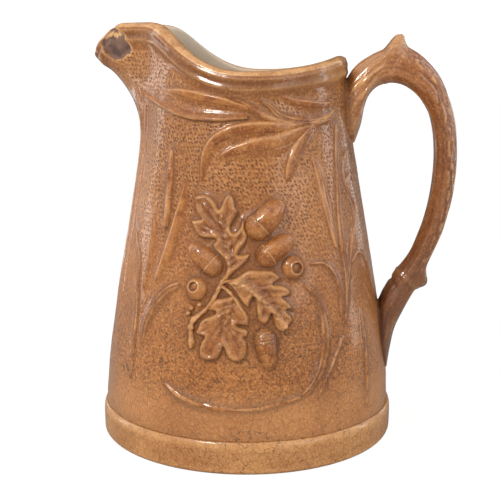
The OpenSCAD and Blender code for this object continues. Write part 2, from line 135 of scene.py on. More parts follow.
# Reach of the spout: a bell curve round the jug that grows with the square of the height
def spoutOut(turn, z):
    rise = clamp01((z - jug["spoutZ"]) / (jug["noseZ"] - jug["spoutZ"]))
    spread = jug["spoutSpread"] * mix(jug["spoutFoot"], 1.0, rise)
    return jug["spoutReach"] * rise ** 2 * np.exp(-(turn / spread) ** jug["spoutFall"])


# Roll of the collar at a depth d under the rim: the root of a half wave
def collar(d):
    return jug["collarOut"] * np.sqrt(np.maximum(0, np.sin(np.pi * clamp01(d / jug["collarH"]))))


# Radius of the outer wall, and of the inner wall its thickness further in
def outerR(turn, z):
    return roundR(z) + spoutOut(turn, z) + collar(rimAt(turn) - z)


def innerR(turn, z):
    return roundR(z) + jug["spoutInside"] * spoutOut(turn, z) - jug["wallT"]


# Radius, turn and height to a point of the front side
def roundPoint(r, turn, z):
    a = np.radians(turn)
    return np.stack([-r * np.cos(a), -r * np.sin(a), z + 0 * r], -1)


# Turn at a width u on the panel
def panelTurn(u):
    return 90 - jug["ornamentTurn"] + np.degrees(u / jug["panelR"])


# Panel place (width u, height v) and height h above the wall to a point
def onPanel(u, v, h):
    turn = panelTurn(u)
    return roundPoint(outerR(turn, v) + h, turn, v)


# The points at k times their distance from the axis
def fromAxis(p, k):
    return p * np.stack([k, k, np.ones_like(k)], -1)


# The points moved out to the wall less a sink, and how far they stood out of it
def seatOnWall(p, sink):
    r = lengths(p[..., :2])
    turn = np.degrees(np.arctan2(np.abs(p[..., 1]), -p[..., 0]))
    wall = outerR(turn, p[..., 2]) - sink
    return fromAxis(p, np.maximum(r, wall) / np.maximum(r, 1e-6)), r - wall


# A closed surface: its points, its faces turned outwards, and values at the points for the material;
# a uv counts the pits of the stipple
def closedPart(points, quads, ends, fields, uv=None):
    a, b, c, d = (points[quads[:, i]] - points.mean(0) for i in range(4))
    if np.einsum("ij,ij->", a, np.cross(b, c) + np.cross(c, d)) < 0:
        quads, ends = quads[:, ::-1], ends[:, ::-1]
    return points, quads, ends, fields, uv


# Ringed surface: quads between rings that close on themselves, one face over each end ring
def ringPart(p, fields, uv=None):
    n, k = p.shape[:2]
    ids = np.arange(n * k).reshape(n, k)
    ahead = np.roll(ids, -1, 1)
    quads = np.stack([ids[:-1], ahead[:-1], ahead[1:], ids[1:]], -1).reshape(-1, 4)
    flat = {key: np.broadcast_to(value, (n, k)).ravel() for key, value in fields.items()}
    ends = np.stack([ids[0, ::-1], ids[-1]])
    return closedPart(p.reshape(-1, 3), quads, ends, flat, None if uv is None else uv.reshape(-1, 2))


# Patch: the chosen cells of a grid over a wall, on top and underneath, with walls round their border
def patchPart(p, fields, cells):
    n, m = p.shape[1:3]
    ids = np.arange(n * m).reshape(n, m)
    upper = np.stack([ids[:-1, :-1], ids[1:, :-1], ids[1:, 1:], ids[:-1, 1:]], -1)
    wide = np.pad(cells, 1)
    quads = [upper[cells], upper[cells][:, ::-1] + n * m]
    for k, (i, j) in enumerate(((0, -1), (1, 0), (0, 1), (-1, 0))):
        border = upper[cells & ~wide[1 + i:n + i, 1 + j:m + j]]
        first, second = border[:, k], border[:, (k + 1) % 4]
        quads.append(np.stack([second, first, first + n * m, second + n * m], -1))
    used, place = np.unique(np.concatenate(quads), return_inverse=True)
    flat = {key: np.concatenate([value.ravel(), np.ones(n * m)])[used] for key, value in fields.items()}
    return closedPart(p.reshape(-1, 3)[used], place.reshape(-1, 4), np.zeros((0, 4), int), flat)


# Darkness where the glaze pools, partly painted shade, and paleness where it lies thin, partly painted
# highlights; each held between 0 and 1
def glazeFields(cavity, edge):
    return {"cavity": clamp01(cavity), "edge": clamp01(edge)}


# One object from its parts: faces, point values for the material and the pit map; it rides on the root
def meshPiece(name, parts):
    points, loops, sizes, smooth, values, places = [], [], [], [], {}, []
    count = 0
    for p, quads, ends, fields, uv in parts:
        corners = np.concatenate([quads.ravel(), ends.ravel()])
        sizes += [np.full(len(quads), 4), np.full(len(ends), ends.shape[1])]
        smooth += [np.ones(len(quads), bool), np.zeros(len(ends), bool)]
        points.append(p)
        loops.append(corners + count)
        places += [] if uv is None else [uv[corners]]
        for field, value in fields.items():
            values.setdefault(field, []).append(value)
        count += len(p)
    loops, sizes = np.concatenate(loops), np.concatenate(sizes)
    mesh = bpy.data.meshes.new(name)
    mesh.vertices.add(count)
    mesh.vertices.foreach_set("co", (np.concatenate(points) / 1000).astype(np.float32).ravel())
    mesh.loops.add(len(loops))
    mesh.loops.foreach_set("vertex_index", loops.astype(np.int32))
    mesh.polygons.add(len(sizes))
    mesh.polygons.foreach_set("loop_start", (np.cumsum(sizes) - sizes).astype(np.int32))
    mesh.update(calc_edges=True)
    mesh.polygons.foreach_set("use_smooth", np.concatenate(smooth))
    for field, value in values.items():
        data = mesh.attributes.new(field, "FLOAT", "POINT").data
        data.foreach_set("value", np.concatenate(value).astype(np.float32))
    if places:
        spots = np.concatenate(places).astype(np.float32).ravel()
        mesh.uv_layers.new(name="panel").data.foreach_set("uv", spots)
    mesh.validate()
    piece = bpy.data.objects.new(name, mesh)
    bpy.context.collection.objects.link(piece)
    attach(piece, "root")
    return piece


# sRGB hex to linear colour
def linear(code):
    c = np.array([int(code[i:i + 2], 16) for i in (1, 3, 5)]) / 255
    c = np.where(c <= 0.04045, c / 12.92, ((c + 0.055) / 1.055) ** 2.4)
    return (*c, 1.0)


# One node with its settings; each socket, by name or in order, gets a value or the output that feeds it
def addNode(tree, kind, settings=None, sockets=(), out=0):
    node = tree.nodes.new("ShaderNode" + kind)
    for key, value in (settings or {}).items():
        setattr(node, key, value)
    for key, value in sockets.items() if isinstance(sockets, dict) else enumerate(sockets):
        if isinstance(value, bpy.types.NodeSocket):
            tree.links.new(value, node.inputs[key])
        else:
            node.inputs[key].default_value = value
    return node.outputs[out] if node.outputs else None


# A cleared node tree, ready for nodes
def freshTree(holder):
    holder.use_nodes = True
    holder.node_tree.nodes.clear()
    return partial(addNode, holder.node_tree)


# Settings that many nodes share
times, plus, minus, timesPlus = (
    {"operation": name} for name in ("MULTIPLY", "ADD", "SUBTRACT", "MULTIPLY_ADD"))
soft = {"interpolation_type": "SMOOTHSTEP"}
blend = {"data_type": "RGBA"}

# Noise in the glaze: size in mm, detail, roughness
glazeNoise = {
    "grain": (1.1, 3, 0.7),  # paler and darker spots
    "fleck": (1.15, 3, 0.75),  # dark mottle
    "thin": (5, 3, 0.55),  # where it runs thin over edges
    "swell": (7, 3, 0.55),  # orange peel
    "gloss": (18, 3, 0.55),
    "crazed": (26, 3, 0.55),  # patches of crazing
    "coat": (30, 2, 0.55),
}
groundNoise = {"filled": (5, 2, 0.55), "clay": (6, 4, 0.55)}  # pits filled by glaze, tone of bare clay
tints = {"speck": "#54310f", "crack": "#40220c", "band": "#b48d66", "fresh": "#c39a6a", "clay": "#71564a",
         "clayDark": "#4f3a32", "within": "#bfae98", "withinShade": "#6b5844"}


# Lead-glazed stoneware: a glossy red-brown glaze that runs thin and pale over edges, pools dark in
# hollows, carries iron specks, breaks into a dark mottle low on the body, and is finely crazed; the
# pale and dark masks also carry painted highlights and painted shade
def glazeMaterial(name, look):
    mat = bpy.data.materials.new(name)
    node = freshTree(mat)
    ground = "stipple" in look["fields"]
    place = node("TexCoord", out="Object")
    height = node("SeparateXYZ", None, [place], "Z")
    field = {key: node("Attribute", {"attribute_name": key}, (), "Fac") for key in look["fields"]}
    sizes = {**glazeNoise, **(groundNoise if ground else {}), "tone": (look["toneSize"], 4, 0.55)}
    noise = {}
    for key, (size, detail, rough) in sizes.items():
        sockets = {"Vector": place, "Scale": 1000 / size, "Detail": detail, "Roughness": rough}
        noise[key] = node("TexNoise", None, sockets)
    ink = {key: linear(code) for key, code in {**tints, **look["colours"]}.items()}
    thin = node("MapRange", soft, [noise["thin"], 0.3, 0.6, 0.3, look["thin"]])
    layers = [
        (node("MapRange", soft, [noise["tone"], 0.34, 0.66, 0, 1]), ink["mid"]),
        # Painted shade: darker towards the neck, to even out the stronger light from above
        (node("MapRange", soft, [height, 0.05, 0.17, 0, look["neckShade"]]), ink["deep"]),
        # It breaks into paler and darker spots of about a millimetre
        (node("MapRange", soft, [noise["grain"], 0.5, 0.68, 0, look["spots"]]), ink["pale"]),
        (node("MapRange", soft, [noise["grain"], 0.5, 0.34, 0, look["spots"]]), ink["deep"]),
        # It pools in hollows and is thin and pale on edges; these masks also carry painted shade and painted
        # highlights
        (node("Math", times, [field["cavity"], look["pool"]]), ink["deep"]),
        (node("Math", times, [field["edge"], thin]), ink["pale"]),
    ]

    # Mottle: dark flecks of about a millimetre where the glaze has run low, few on the plain band
    low = node("MapRange", soft, [height, 0.055, 0.125, look["mottle"], look["mottle"] * 0.3])
    low = node("Math", times, [low, node("MapRange", soft, [height, 0.026, 0.042, 0.2, 1])])
    fleck = node("Math", times, [node("MapRange", soft, [noise["fleck"], 0.48, 0.58, 0, 1]), low])

    # Iron specks: the rare cells of a cell pattern, seen near their middles
    cells = node("TexVoronoi", None, {"Vector": place, "Scale": 1000 / look["speckSize"]}, "Color")
    chance = node("SeparateColor", None, [cells])
    rare = node("MapRange", soft, [chance, look["speckFrom"], look["speckFrom"] + 0.05, 0, 1])
    middle = node("MapRange", soft, [cells.node.outputs["Distance"], 0.12, 0.3, 0.6, 0])

    # Crazing: the wavering borders of a larger cell pattern, in patches, less of it higher up
    wander = node("TexNoise", None,
                  {"Vector": place, "Scale": 1000 / look["wanderSize"], "Detail": 2}, "Color")
    shifted = node("VectorMath", timesPlus, [wander, (0.003, 0.003, 0.003), place])  # by up to 3 mm
    border = node("TexVoronoi", {"feature": "DISTANCE_TO_EDGE"},
                  {"Vector": shifted, "Scale": 1000 / look["crazeSize"]}, "Distance")
    crack = node("Math", times, [node("MapRange", soft, [border, 0, 0.026, look["craze"], 0]),
                                 node("MapRange", soft, [noise["crazed"], 0.36, 0.5, 0, 1])])
    crack = node("Math", times, [crack, node("MapRange", soft, [height, 0.045, 0.1, 1, 0.25])])
    layers += [(fleck, ink["deep"]), (node("Math", times, [rare, middle]), ink["speck"]),
               (crack, ink["crack"])]

    # The clay under the glaze is rough; the glaze itself has melted almost smooth over it
    rise = node("Math", timesPlus, [noise["grain"], look["grain"], node("Math", times, [fleck, -0.12])])
    rise = node("Math", timesPlus, [noise["swell"], 0.24, rise])
    melt = node("Math", timesPlus, [noise["swell"], 0.12, node("Math", times, [noise["grain"], 0.03])])
    gloss = node("MapRange", soft, [noise["gloss"], 0.35, 0.65, look["rough"], look["rough"] + 0.12])
    coat = node("MapRange", soft, [noise["coat"], 0.3, 0.6, look["coat"] - 0.25, look["coat"]])
    if ground:
        # Stipple: small round pits in staggered rows, some filled, with paler ridges between them
        panel = node("UVMap", {"uv_map": "panel"})
        pits = node("TexVoronoi", {"voronoi_dimensions": "2D"},
                    {"Vector": panel, "Scale": 1, "Randomness": 0.6}, "Distance")
        patch = node("MapRange", soft, [noise["filled"], 0.36, 0.58, 0.3, 1])
        patch = node("Math", times, [patch, field["stipple"]])
        pit = node("Math", times, [node("MapRange", soft, [pits, 0.13, 0.34, 1, 0]), patch])
        ridge = node("Math", times, [node("MapRange", soft, [pits, 0.34, 0.54, 0, 0.16]), field["stipple"]])
        rise = node("Math", timesPlus, [pit, -0.4, rise])
        melt = node("Math", timesPlus, [pit, -0.12, melt])
        # The plain band over the foot is painted paler and greyer, partly a painted reflection of the pale
        # floor; the chip shows bare clay, with a fresh edge
        tone = node("MapRange", soft, [noise["clay"], 0.4, 0.62, 0, 1])
        clay = node("Mix", blend, {0: tone, 6: ink["clay"], 7: ink["clayDark"]}, 2)
        layers += [(node("MapRange", soft, [height, 0.028, 0.045, 0.2, 0]), ink["band"]),
                   (node("Math", times, [pit, 0.62]), ink["deep"]), (ridge, ink["pale"]),
                   (field["bare"], clay), (field["fresh"], ink["fresh"])]
        gloss = node("Math", timesPlus, [field["bare"], 0.45, gloss])
        coat = node("Math", times, [node("Math", minus, [1, field["bare"]]), coat])
    if "inside" in field:
        # The inside has a pale greyish glaze, with painted shade that darkens it further down
        within = node("Mix", blend, {0: field["cavity"], 6: ink["within"], 7: ink["withinShade"]}, 2)
        layers.append((field["inside"], within))
    colour = ink["dark"]
    for share, over in layers:
        colour = node("Mix", blend, {0: share, 6: colour, 7: over}, 2)
    bump, smooth = (node("Bump", None, {"Strength": 1, "Distance": 0.001, "Height": h}) for h in (rise, melt))
    skin = node("BsdfPrincipled", None, {
        "Base Color": colour, "Roughness": gloss, "Normal": bump, "Specular IOR Level": 0.35,
        "Coat Weight": coat, "Coat Normal": smooth, "Coat Roughness": 0.05})
    node("OutputMaterial", None, {"Surface": skin})
    return mat


# Colours, then pattern sizes in mm and strengths; each tint of the glaze changes a few of them
honey = {"dark": "#985a25", "mid": "#ac6d34", "pale": "#d2a069", "deep": "#522c10"}
glaze = {
    "fields": ["cavity", "edge"], "toneSize": 34, "neckShade": 0.16, "pool": 0.75, "thin": 0.8,
    "spots": 0.4, "mottle": 0.6, "speckSize": 3.2, "speckFrom": 0.9, "crazeSize": 6, "craze": 0.9,
    "wanderSize": 3.846, "grain": 0.16, "rough": 0.3, "coat": 0.65,
}
glazes = {
    "body": glazeMaterial("lead-glazed stoneware, stippled", {
        **glaze, "colours": honey, "neckShade": 0.28,
        "fields": ["cavity", "edge", "inside", "stipple", "bare", "fresh"]}),
    "relief": glazeMaterial("lead-glazed stoneware, moulded relief", {
        **glaze, "colours": {**honey, "dark": "#834617", "mid": "#a96d36"}, "toneSize": 7,
        "pool": 0.9, "thin": 0.7, "mottle": 0.25, "spots": 0.3}),
    "handle": glazeMaterial("lead-glazed stoneware, branch", {
        **glaze, "colours": {**honey, "dark": "#864c24", "mid": "#9d6234", "deep": "#4b2a1b"}, "toneSize": 22,
        "craze": 0.15, "mottle": 0.3, "neckShade": 0, "rough": 0.24, "coat": 0.9}),
    "foot": glazeMaterial("lead-glazed stoneware, plain foot", {
        **glaze, "colours": {**honey, "dark": "#9c683a", "mid": "#b27f4b"}, "craze": 0.6, "mottle": 0.2,
        "fields": ["cavity", "edge", "inside"]}),
}
print("materials made:", len(glazes))

# Ornament, a little finer than on the solids: places in hundredths of the panel's height, from the hub
# or the fork.
# A leaf has its outline, its midrib with half-width and height in mm, and its side veins.
leaves = {
    "oakLeafUpper": {
        "outline": [
            [0.7, 0], [0.9, 1.9], [1.3, 4.4], [0.5, 6.6], [-1.1, 8.1], [-2.7, 9.5], [-3.3, 10.4],
            [-3.2, 11.5], [-2.3, 12.4], [-2.9, 12.9], [-4.5, 13], [-7, 13], [-8.7, 13.6],
            [-9.7, 14.8], [-10.8, 16.5], [-11.7, 18.1], [-10.8, 18.6], [-9.3, 18.7], [-7.9, 19],
            [-8.6, 19.8], [-9.6, 20.8], [-10.3, 22.2], [-10.8, 24.4], [-10.8, 26.1], [-9.5, 26.5],
            [-7.6, 26.8], [-6, 26.6], [-4.6, 25.8], [-3.5, 24.7], [-2.6, 23.5], [-1.9, 22.4],
            [-1.3, 22.7], [-0.8, 23.9], [-0.2, 25.4], [0.6, 26.6], [1.4, 27.1], [2.4, 26.7],
            [3.2, 25.7], [3.7, 24.2], [3.9, 23], [4.9, 21.9], [4.6, 21], [3.7, 19.6], [2.9, 18.3],
            [2.3, 16.9], [2.6, 15.7], [3.3, 15.1], [4.3, 15.3], [5, 16], [5.7, 17.2], [6.1, 18.4],
            [6.5, 19.2], [7.1, 18], [7.3, 16.4], [7.8, 15.2], [8.1, 13.9], [7.7, 12.5], [6.9, 11.2],
            [5.9, 10.1], [5.3, 9], [5.1, 8.3], [6.3, 8.2], [7.6, 8.4], [9, 8.6], [8.6, 7.3],
            [7.7, 6.1], [6.3, 4.7], [4.9, 3.5], [3.5, 2.4], [2.4, 1.1], [1.7, 0]],
        "rib": [[1.2, -0.3], [1.9, 3.1], [2.2, 6.6], [1.9, 10.1], [1.1, 13.2], [0.2, 16.3],
                [-0.7, 19.1], [-1.3, 21.6]],
        "ribW": 1.0, "ribHigh": 0.3, "hollow": 0.55,
        "veins": [
            [[0, 17], [-4, 20.5], [-8, 24.5]],
            [[1, 13.6], [-4, 15], [-9, 17]],
            [[2, 9.5], [0, 10.6], [-2, 11.2]],
            [[-0.9, 19.6], [0.8, 22.5], [2, 25]],
            [[1.8, 10.6], [4.5, 13.5], [6.4, 17]],
            [[2.1, 5], [4.6, 6.4], [7.6, 8]]]},
    "oakLeafRight": {
        "outline": [
            [1.5, -0.8], [2.1, -0.1], [3.4, 0.5], [4.9, 1.1], [6.2, 2.1], [7.6, 3], [9.2, 3.4],
            [11.5, 3.2], [13.8, 3.3], [15.7, 3], [17.2, 2.2], [18.5, 0.8], [17.7, 0], [16.5, -0.7],
            [16.1, -1.2], [17.2, -1.5], [18.7, -1.7], [20.2, -2.3], [21.3, -3.5], [21.3, -4.5],
            [20.4, -5.2], [18.9, -5.5], [20.2, -6.5], [21.4, -7.9], [22.1, -9.4], [21.1, -9.4],
            [20.1, -9.7], [20.7, -10.7], [21.6, -11.9], [21.7, -13.1], [20.8, -14.1], [20.4, -15.2],
            [19.3, -16.2], [18, -16.4], [16.9, -15.5], [16.1, -13.9], [15.6, -12.1], [15.3, -10.6],
            [15, -11.7], [14.2, -13.1], [13.1, -13.8], [12, -13.3], [11.1, -11.8], [10.8, -9.9],
            [10.7, -8], [10.5, -6.3], [10, -5.3], [9.3, -6], [8.8, -7.3], [8.2, -8.5], [7.1, -7.7],
            [6, -6.2], [5, -4.6], [3.9, -3.1], [2.7, -1.8]],
        "rib": [[1.5, -0.5], [4.1, -0.5], [6.6, -1.5], [8.9, -2.9], [11, -4.7], [12.9, -6.4],
                [14.4, -8.2], [16, -10.2], [17.8, -12.4], [19.3, -14.8]],
        "ribW": 1.9, "ribHigh": 1.5, "hollow": 0.3,
        "veins": [
            [[4.4, -0.7], [9, 1.2], [16.5, 1.4]],
            [[9.5, -3.4], [14, -2.6], [19.8, -3.2]],
            [[13, -6.6], [17, -6.6], [20.8, -8.6]],
            [[16, -10.2], [19, -11], [21, -12.4]],
            [[5, -1], [7, -4], [8.2, -7.4]],
            [[10.6, -4.6], [12, -8], [12.9, -12.4]]]},
    "oakLeafLower": {
        "outline": [
            [3.4, -3.9], [2.7, -4.8], [1.3, -5.3], [-0.6, -5.6], [-2.1, -6.1], [-3, -7.3],
            [-3.9, -8.5], [-4.4, -9.4], [-3.2, -9.8], [-2, -9.9], [-1.7, -10.6], [-3, -11.4],
            [-4.7, -12], [-6, -12.9], [-6.7, -14], [-7.1, -15.4], [-7.7, -16.9], [-6.7, -17.7],
            [-5.1, -18], [-5, -18.6], [-5.7, -19.6], [-6.1, -21], [-6.3, -22.5], [-6.1, -24],
            [-5.3, -25.1], [-3.7, -25.5], [-2, -25.3], [-0.6, -24.6], [0.1, -23.3], [0.6, -21.9],
            [0.9, -21], [1.4, -22.2], [2, -23.7], [3, -25.1], [4.4, -25.7], [5.8, -25.5], [7, -24.6],
            [7.8, -23], [8, -21.1], [7.9, -19.3], [7.1, -18.3], [7, -17.8], [7.9, -17.5],
            [8.3, -16.4], [8, -15.4], [6.7, -14.9], [5.3, -14.4], [4.9, -14], [6.1, -14],
            [7.4, -14.2], [8.4, -13.8], [8.6, -12.5], [8.3, -10.9], [7.5, -9.5], [6.5, -7.8],
            [5.4, -6], [4.3, -4.6]],
        "rib": [[3.3, -4.1], [2.7, -6.9], [2.2, -10.1], [1.6, -13.3], [1.2, -16.4], [1, -19.3]],
        "ribW": 1.0, "ribHigh": 0.3, "hollow": 0.15,
        "veins": [
            [[2.9, -6.4], [0, -7.2], [-3.4, -9]],
            [[2.3, -9.8], [-2, -12.6], [-6.6, -16.4]],
            [[1.7, -13], [-1.6, -18], [-4, -23.6]],
            [[2.7, -7.4], [5, -10], [7.4, -13]],
            [[2, -11.6], [4.6, -14.6], [7.4, -16.4]],
            [[1.4, -15.4], [3.6, -19.6], [5.2, -24]]]},
}
stalk = [[0.4, 0.2], [-0.8, -2.6], [-2.3, -5.8], [-4, -8.5], [-6.2, -10.9], [-8.3, -12.8], [-9.3, -15],
         [-9.2, -18], [-8.7, -22]]
# Acorns: both ends, radius in mm, roughness of the cup
acorns = {
    "acornUpper": ([8.3, 13.4], [19.4, 24.8], 6.5, 0.12),
    "acornMiddle": ([11.3, 5.4], [22.5, 13.5], 5.8, 0.12),
    "acornLeft": ([-0.3, 2], [-11, 10.8], 5.54, 0.12),
    "acornLower": ([12.8, -15], [14.7, -28.6], 5.4, 0.3),
}
cupR = 5.4
# Empty cups: middle, the hole's shift from it in mm, and the hole's radius
emptyCups = {
    "emptyCupLeft": ([-8.3, -3.4], [-0.8, 1.2], 2.3),
    "emptyCupRight": ([23, 3.6], [1.2, -0.5], 2.7),
}
# Low strips of a piece, from the hub or the fork: points and half-width in hundredths, height in mm,
# width shares at both ends, kind, crisp side
lowStrips = {
    "frameVine": ("hub", [
        ([[-14.6, -2.4], [-19.4, -4.9], [-24.3, -10.4], [-27.5, -17.4], [-28.2, -24]],
         1.9, 0.9, 0.3, 0.3, "reed", 1),
        ([[-17.4, -34.7], [-12.8, -37.9], [-7, -40], [0, -41.1], [6, -41.4]],
         1.8, 1.4, 0.3, 0.1, "stem", 1),
        ([[4, -41.4], [10, -41], [16, -39.9], [23.3, -38.2]],
         1.3, 1.1, 0.1, 0.5, "stem", 1),
        ([[24.6, -37.6], [28, -34], [31, -29], [32.8, -22], [33, -14], [31.4, -6.6], [26.8, -1.8]],
         1.8, 0.9, 0.5, 0.2, "reed", 1),
    ]),
    "sideReeds": ("hub", [
        ([[-23, 15.4], [-23.3, 27.8], [-23.9, 40.3]], 2.2, 1.5, 0.5, 0.4, "rush", 1),
        ([[-15.4, 30], [-16.8, 21], [-19.2, 11], [-21.6, 4], [-24, -1.6]],
         2.3, 0.85, 0.1, 0.4, "leaf", -1),
        ([[-30.4, 19], [-28.9, 13], [-28.4, 7], [-28.8, 1], [-30, -6]],
         1.8, 0.85, 0.1, 0.4, "leaf", -1),
        ([[-39.6, 13], [-38.4, 8.4], [-35.2, 3.4], [-33.6, -6], [-32.4, -19.4], [-32.2, -36.1]],
         1.0, 0.85, 0.5, 0.6, "stem", 1),
        ([[34.7, 38.5], [37.5, 30.9], [39.6, 20.1], [41.9, 8.3]],
         2.2, 0.85, 0.1, 0.4, "leaf", -1),
        ([[29.2, 4.2], [35.1, 3.8], [38.9, 0.4], [40.7, -5.6], [40.1, -13.9]],
         1.0, 0.85, 0.3, 0.5, "stem", 1),
        ([[39.6, -21.2], [35.1, -28.8], [32.4, -33.3], [29.2, -39.2]],
         1.0, 0.85, 0.6, 0.4, "stem", 1),
        ([[50.4, 47.8], [47.8, 36.4], [45.6, 23.4], [44.6, 8.7], [44.8, 0.3], [43.9, -9], [42, -16.5]],
         1.5, 1.3, 0.6, 0.3, "groove", 1),
        ([[58, 39], [54, 37], [51.1, 32.1], [52.6, 26.6], [56.6, 21.2], [56.4, 15.4], [50.8, 9.4],
          [48.1, 2.5], [45.4, -4.4]],
         1.1, 1.1, 0.4, 0.3, "stem", 1),
        ([[48.8, 2.3], [54, 4.9], [59.4, 2.6], [62, -3], [63, -10.5]],
         0.9, 1.0, 0.4, 0.2, "stem", 1),
        ([[51.9, 29.4], [57.6, 30.9], [60, 28]], 0.9, 1.0, 0.4, 0.2, "stem", 1),
        ([[50.6, -14], [51.2, -24], [50.6, -34], [49, -46]],
         1.5, 0.9, 0.2, 0.6, "stem", 1),
    ]),
    "neckLeaves": ("fork", [
        ([[49, 4.2], [44, 2.3], [38, 1.5], [31, 1.7], [25, 2.4], [20.5, 4], [17.5, 6.4], [13.2, 8.9]],
         1.4, 1.9, 0.9, 0.25, "groove", 1),
        ([[47, 3.4], [41, 2], [35.9, 1.2], [28.1, 0.9], [21.3, 1.9], [15.5, 3.6], [9.9, 6.1],
          [5.1, 8.4], [-0.7, 9.9]],
         1.7, 1.7, 0.8, 0.15, "stem", 1),
        ([[8, 3.7], [2, 3.5], [-3.8, 3.5], [-13.4, 3.8], [-20.4, 4.8], [-27.4, 6.3], [-35, 7.9],
          [-41.5, 9.3], [-47.5, 10.9]],
         1.6, 1.6, 0.5, 0.1, "fold", 1),
        ([[8.4, 5.6], [1.1, 7.2], [-7.4, 8.7], [-16.8, 9.9], [-23.3, 10.7], [-30.1, 11.2]],
         1.9, 1.3, 0.4, 0.1, "leaf", -1),
        ([[42, 1.6], [36, 0.4], [29, -0.3], [22, -0.4], [14, -0.4], [6, -0.9], [0, -2.3],
          [-4.6, -4.6], [-7.4, -8.2], [-8.6, -12.4], [-8.8, -17]],
         2.5, 1.5, 0.15, 0.1, "leaf", -1),
        ([[38, 0.2], [33.5, -0.9], [29.8, -2], [22.7, -4.2], [16.9, -5.3], [11.4, -6], [6.4, -6.8],
          [1.8, -8], [-2.5, -9.2]],
         3.0, 1.6, 0.1, 0.1, "ragged", -1),
        ([[36, 0], [32.6, -2.6], [29, -6], [26.4, -9.4], [24.4, -13], [23, -17]],
         2.2, 1.3, 0.4, 0.15, "leaf", -1),
        ([[47, 6.6], [41, 6.5], [34, 6.9], [28, 7.9], [22.5, 9.4]],
         1.5, 1.3, 0.6, 0.1, "leaf", -1),
    ]),
}
leafKinds = ("leaf", "fold", "ragged")
starts = {"hub": np.array([0, jug["hubZ"]]), "fork": np.array([0, jug["forkZ"]])}
hub = starts["hub"]
# Slip and pooled glaze on the wall round the relief: how much, and over how many mm it fades. A strip's
# swell is a share of its height; the dark at a strip's foot is pooled glaze and partly a painted shadow
# under its crisp edge, less of it at the soft side of a leaf.
slip = {
    "reach": 9, "stripRise": 0.42, "stripPoolAndShadow": 0.65, "softSidePoolAndShadow": 0.2, "stripFade": 1.1,
    "rise": 0.45, "riseFade": 0.7, "pool": 0.9, "poolFade": 1.5,
    "crowdFade": 3, "crowdRise": 0.7, "crowdPool": 0.6,
}


# Places in hundredths to places on the panel in mm
def onList(points, start):
    return np.asarray(points, float) * jug["unit"] + start


# Path of a low strip in mm at the shares t, with its half-width, height and unit side vector
def stripPath(points, halfW, high, start, end, t):
    path = along(points, t)
    share = mix(start, end, t)
    full = np.maximum(0, np.sin(np.pi * t)) ** 0.7
    w = halfW * jug["unit"] * mix(share, 1, full)
    h = high * mix(np.sqrt(share), 1, full)
    return path, w, h, sideways(path)


# Raises a field to at least a value, at the places near
def raiseTo(out, key, value, near=slice(None)):
    out[key][near] = np.maximum(out[key][near], value)


# Which places lie within the slip's reach of the box round a line
def nearLine(u, v, line):
    low, top = line.min(0) - slip["reach"], line.max(0) + slip["reach"]
    return (u > low[0]) & (u < top[0]) & (v > low[1]) & (v < top[1])


# What a low strip does to the wall at the places (u, v): a soft swell at its foot, where the glaze
# pools dark and a painted shadow falls under the crisp edge, less so at a leaf's soft side; x is the
# distance from its path over its half-width
def addStrip(u, v, out, points, halfW, high, start, end, kind, crisp):
    path, w, h, side = stripPath(points, halfW, high, start, end, np.linspace(0, 1, 110))
    near = nearLine(u, v, path)
    q = np.stack([u[near], v[near]], -1)
    gap = lengths(q[:, None] - path)
    i = np.argmin(gap, 1)
    away = np.maximum(0, gap.min(1) - w[i])
    x = gap.min(1) / w[i]
    softSide = (kind in leafKinds) & (crisp * ((q - path[i]) * side[i]).sum(1) < 0)
    pool = np.where(softSide, slip["softSidePoolAndShadow"], slip["stripPoolAndShadow"])
    raiseTo(out, "height", slip["stripRise"] * h[i] * ease((1.5 - x) / 0.9), near)
    raiseTo(out, "cavity", pool * np.exp(-away / slip["stripFade"]) * ease(h[i] / 0.9), near)
    out["stipple"][near] *= ease((away - 0.3) / 1.4)


# Which places lie inside a closed outline, and how far they lie from it
def outlineField(q, outline):
    a, b = outline, np.roll(outline, -1, 0)
    x, y = q[:, :1], q[:, 1:]
    crosses = (a[:, 1] > y) != (b[:, 1] > y)
    at = (b[:, 0] - a[:, 0]) * (y - a[:, 1]) / np.where(b[:, 1] == a[:, 1], 1e-9, b[:, 1] - a[:, 1]) + a[:, 0]
    inside = (crosses & (x < at)).sum(1) % 2 == 1
    ab = b - a
    k = clamp01(((q[:, None] - a) * ab).sum(-1) / np.maximum((ab ** 2).sum(-1), 1e-9))
    return inside, lengths(q[:, None] - a - k[..., None] * ab).min(1)


# Outline of an acorn on the panel: its half-width is the root of a sine, fullest near the cup
def acornOutline(ends, radius):
    a, b = onList(ends, hub)
    x = np.linspace(0, 1, 18)
    half = radius * np.sqrt(clamp01(np.sin(np.pi * np.minimum(x * 1.25 + 0.06, 0.5 + 0.5 * x))))
    n = np.array([a[1] - b[1], b[0] - a[0]]) / lengths(b - a)
    middle = a + (b - a) * x[:, None]
    return np.concatenate([middle + n * half[:, None], (middle - n * half[:, None])[::-1]])


# Outlines of all high pieces on the panel, in mm
ring = circle(32)
cupRing = cupR * np.stack([np.cos(ring), np.sin(ring)], -1)
stalkPath = onList(along(stalk, np.linspace(0, 1, 40)), hub)
highOutlines = [onList(leaf["outline"], hub) for leaf in leaves.values()]
highOutlines += [acornOutline([a, b], r) for a, b, r, _ in acorns.values()]
highOutlines += [onList(c, hub) + cupRing for c, *_ in emptyCups.values()]
highOutlines += [np.concatenate([stalkPath + [1.4, 0.4], (stalkPath - [1.4, 0.4])[::-1]])]

# Chip beside the spout's tip, an outline of turns and heights: a flake of glaze and clay is gone
chip = {
    "outline": np.array([
        [6.5, 200.2], [6.4, 197.8], [7.4, 195.4], [7.6, 192.4], [9.2, 190.5], [11.2, 190.9],
        [13.1, 191.4], [14.6, 192.9], [16.4, 193.6], [17, 195.3], [16.6, 197], [15.6, 199.8],
        [14.5, 202.5], [12.4, 205], [10.3, 206.2], [8.9, 204.5], [8.2, 201.8]]),
    "depth": 1.2, "mmPerDegree": 1.32, "turns": 24, "fromZ": 184, "freshZ": 202.9, "freshTurns": 13.6,
}
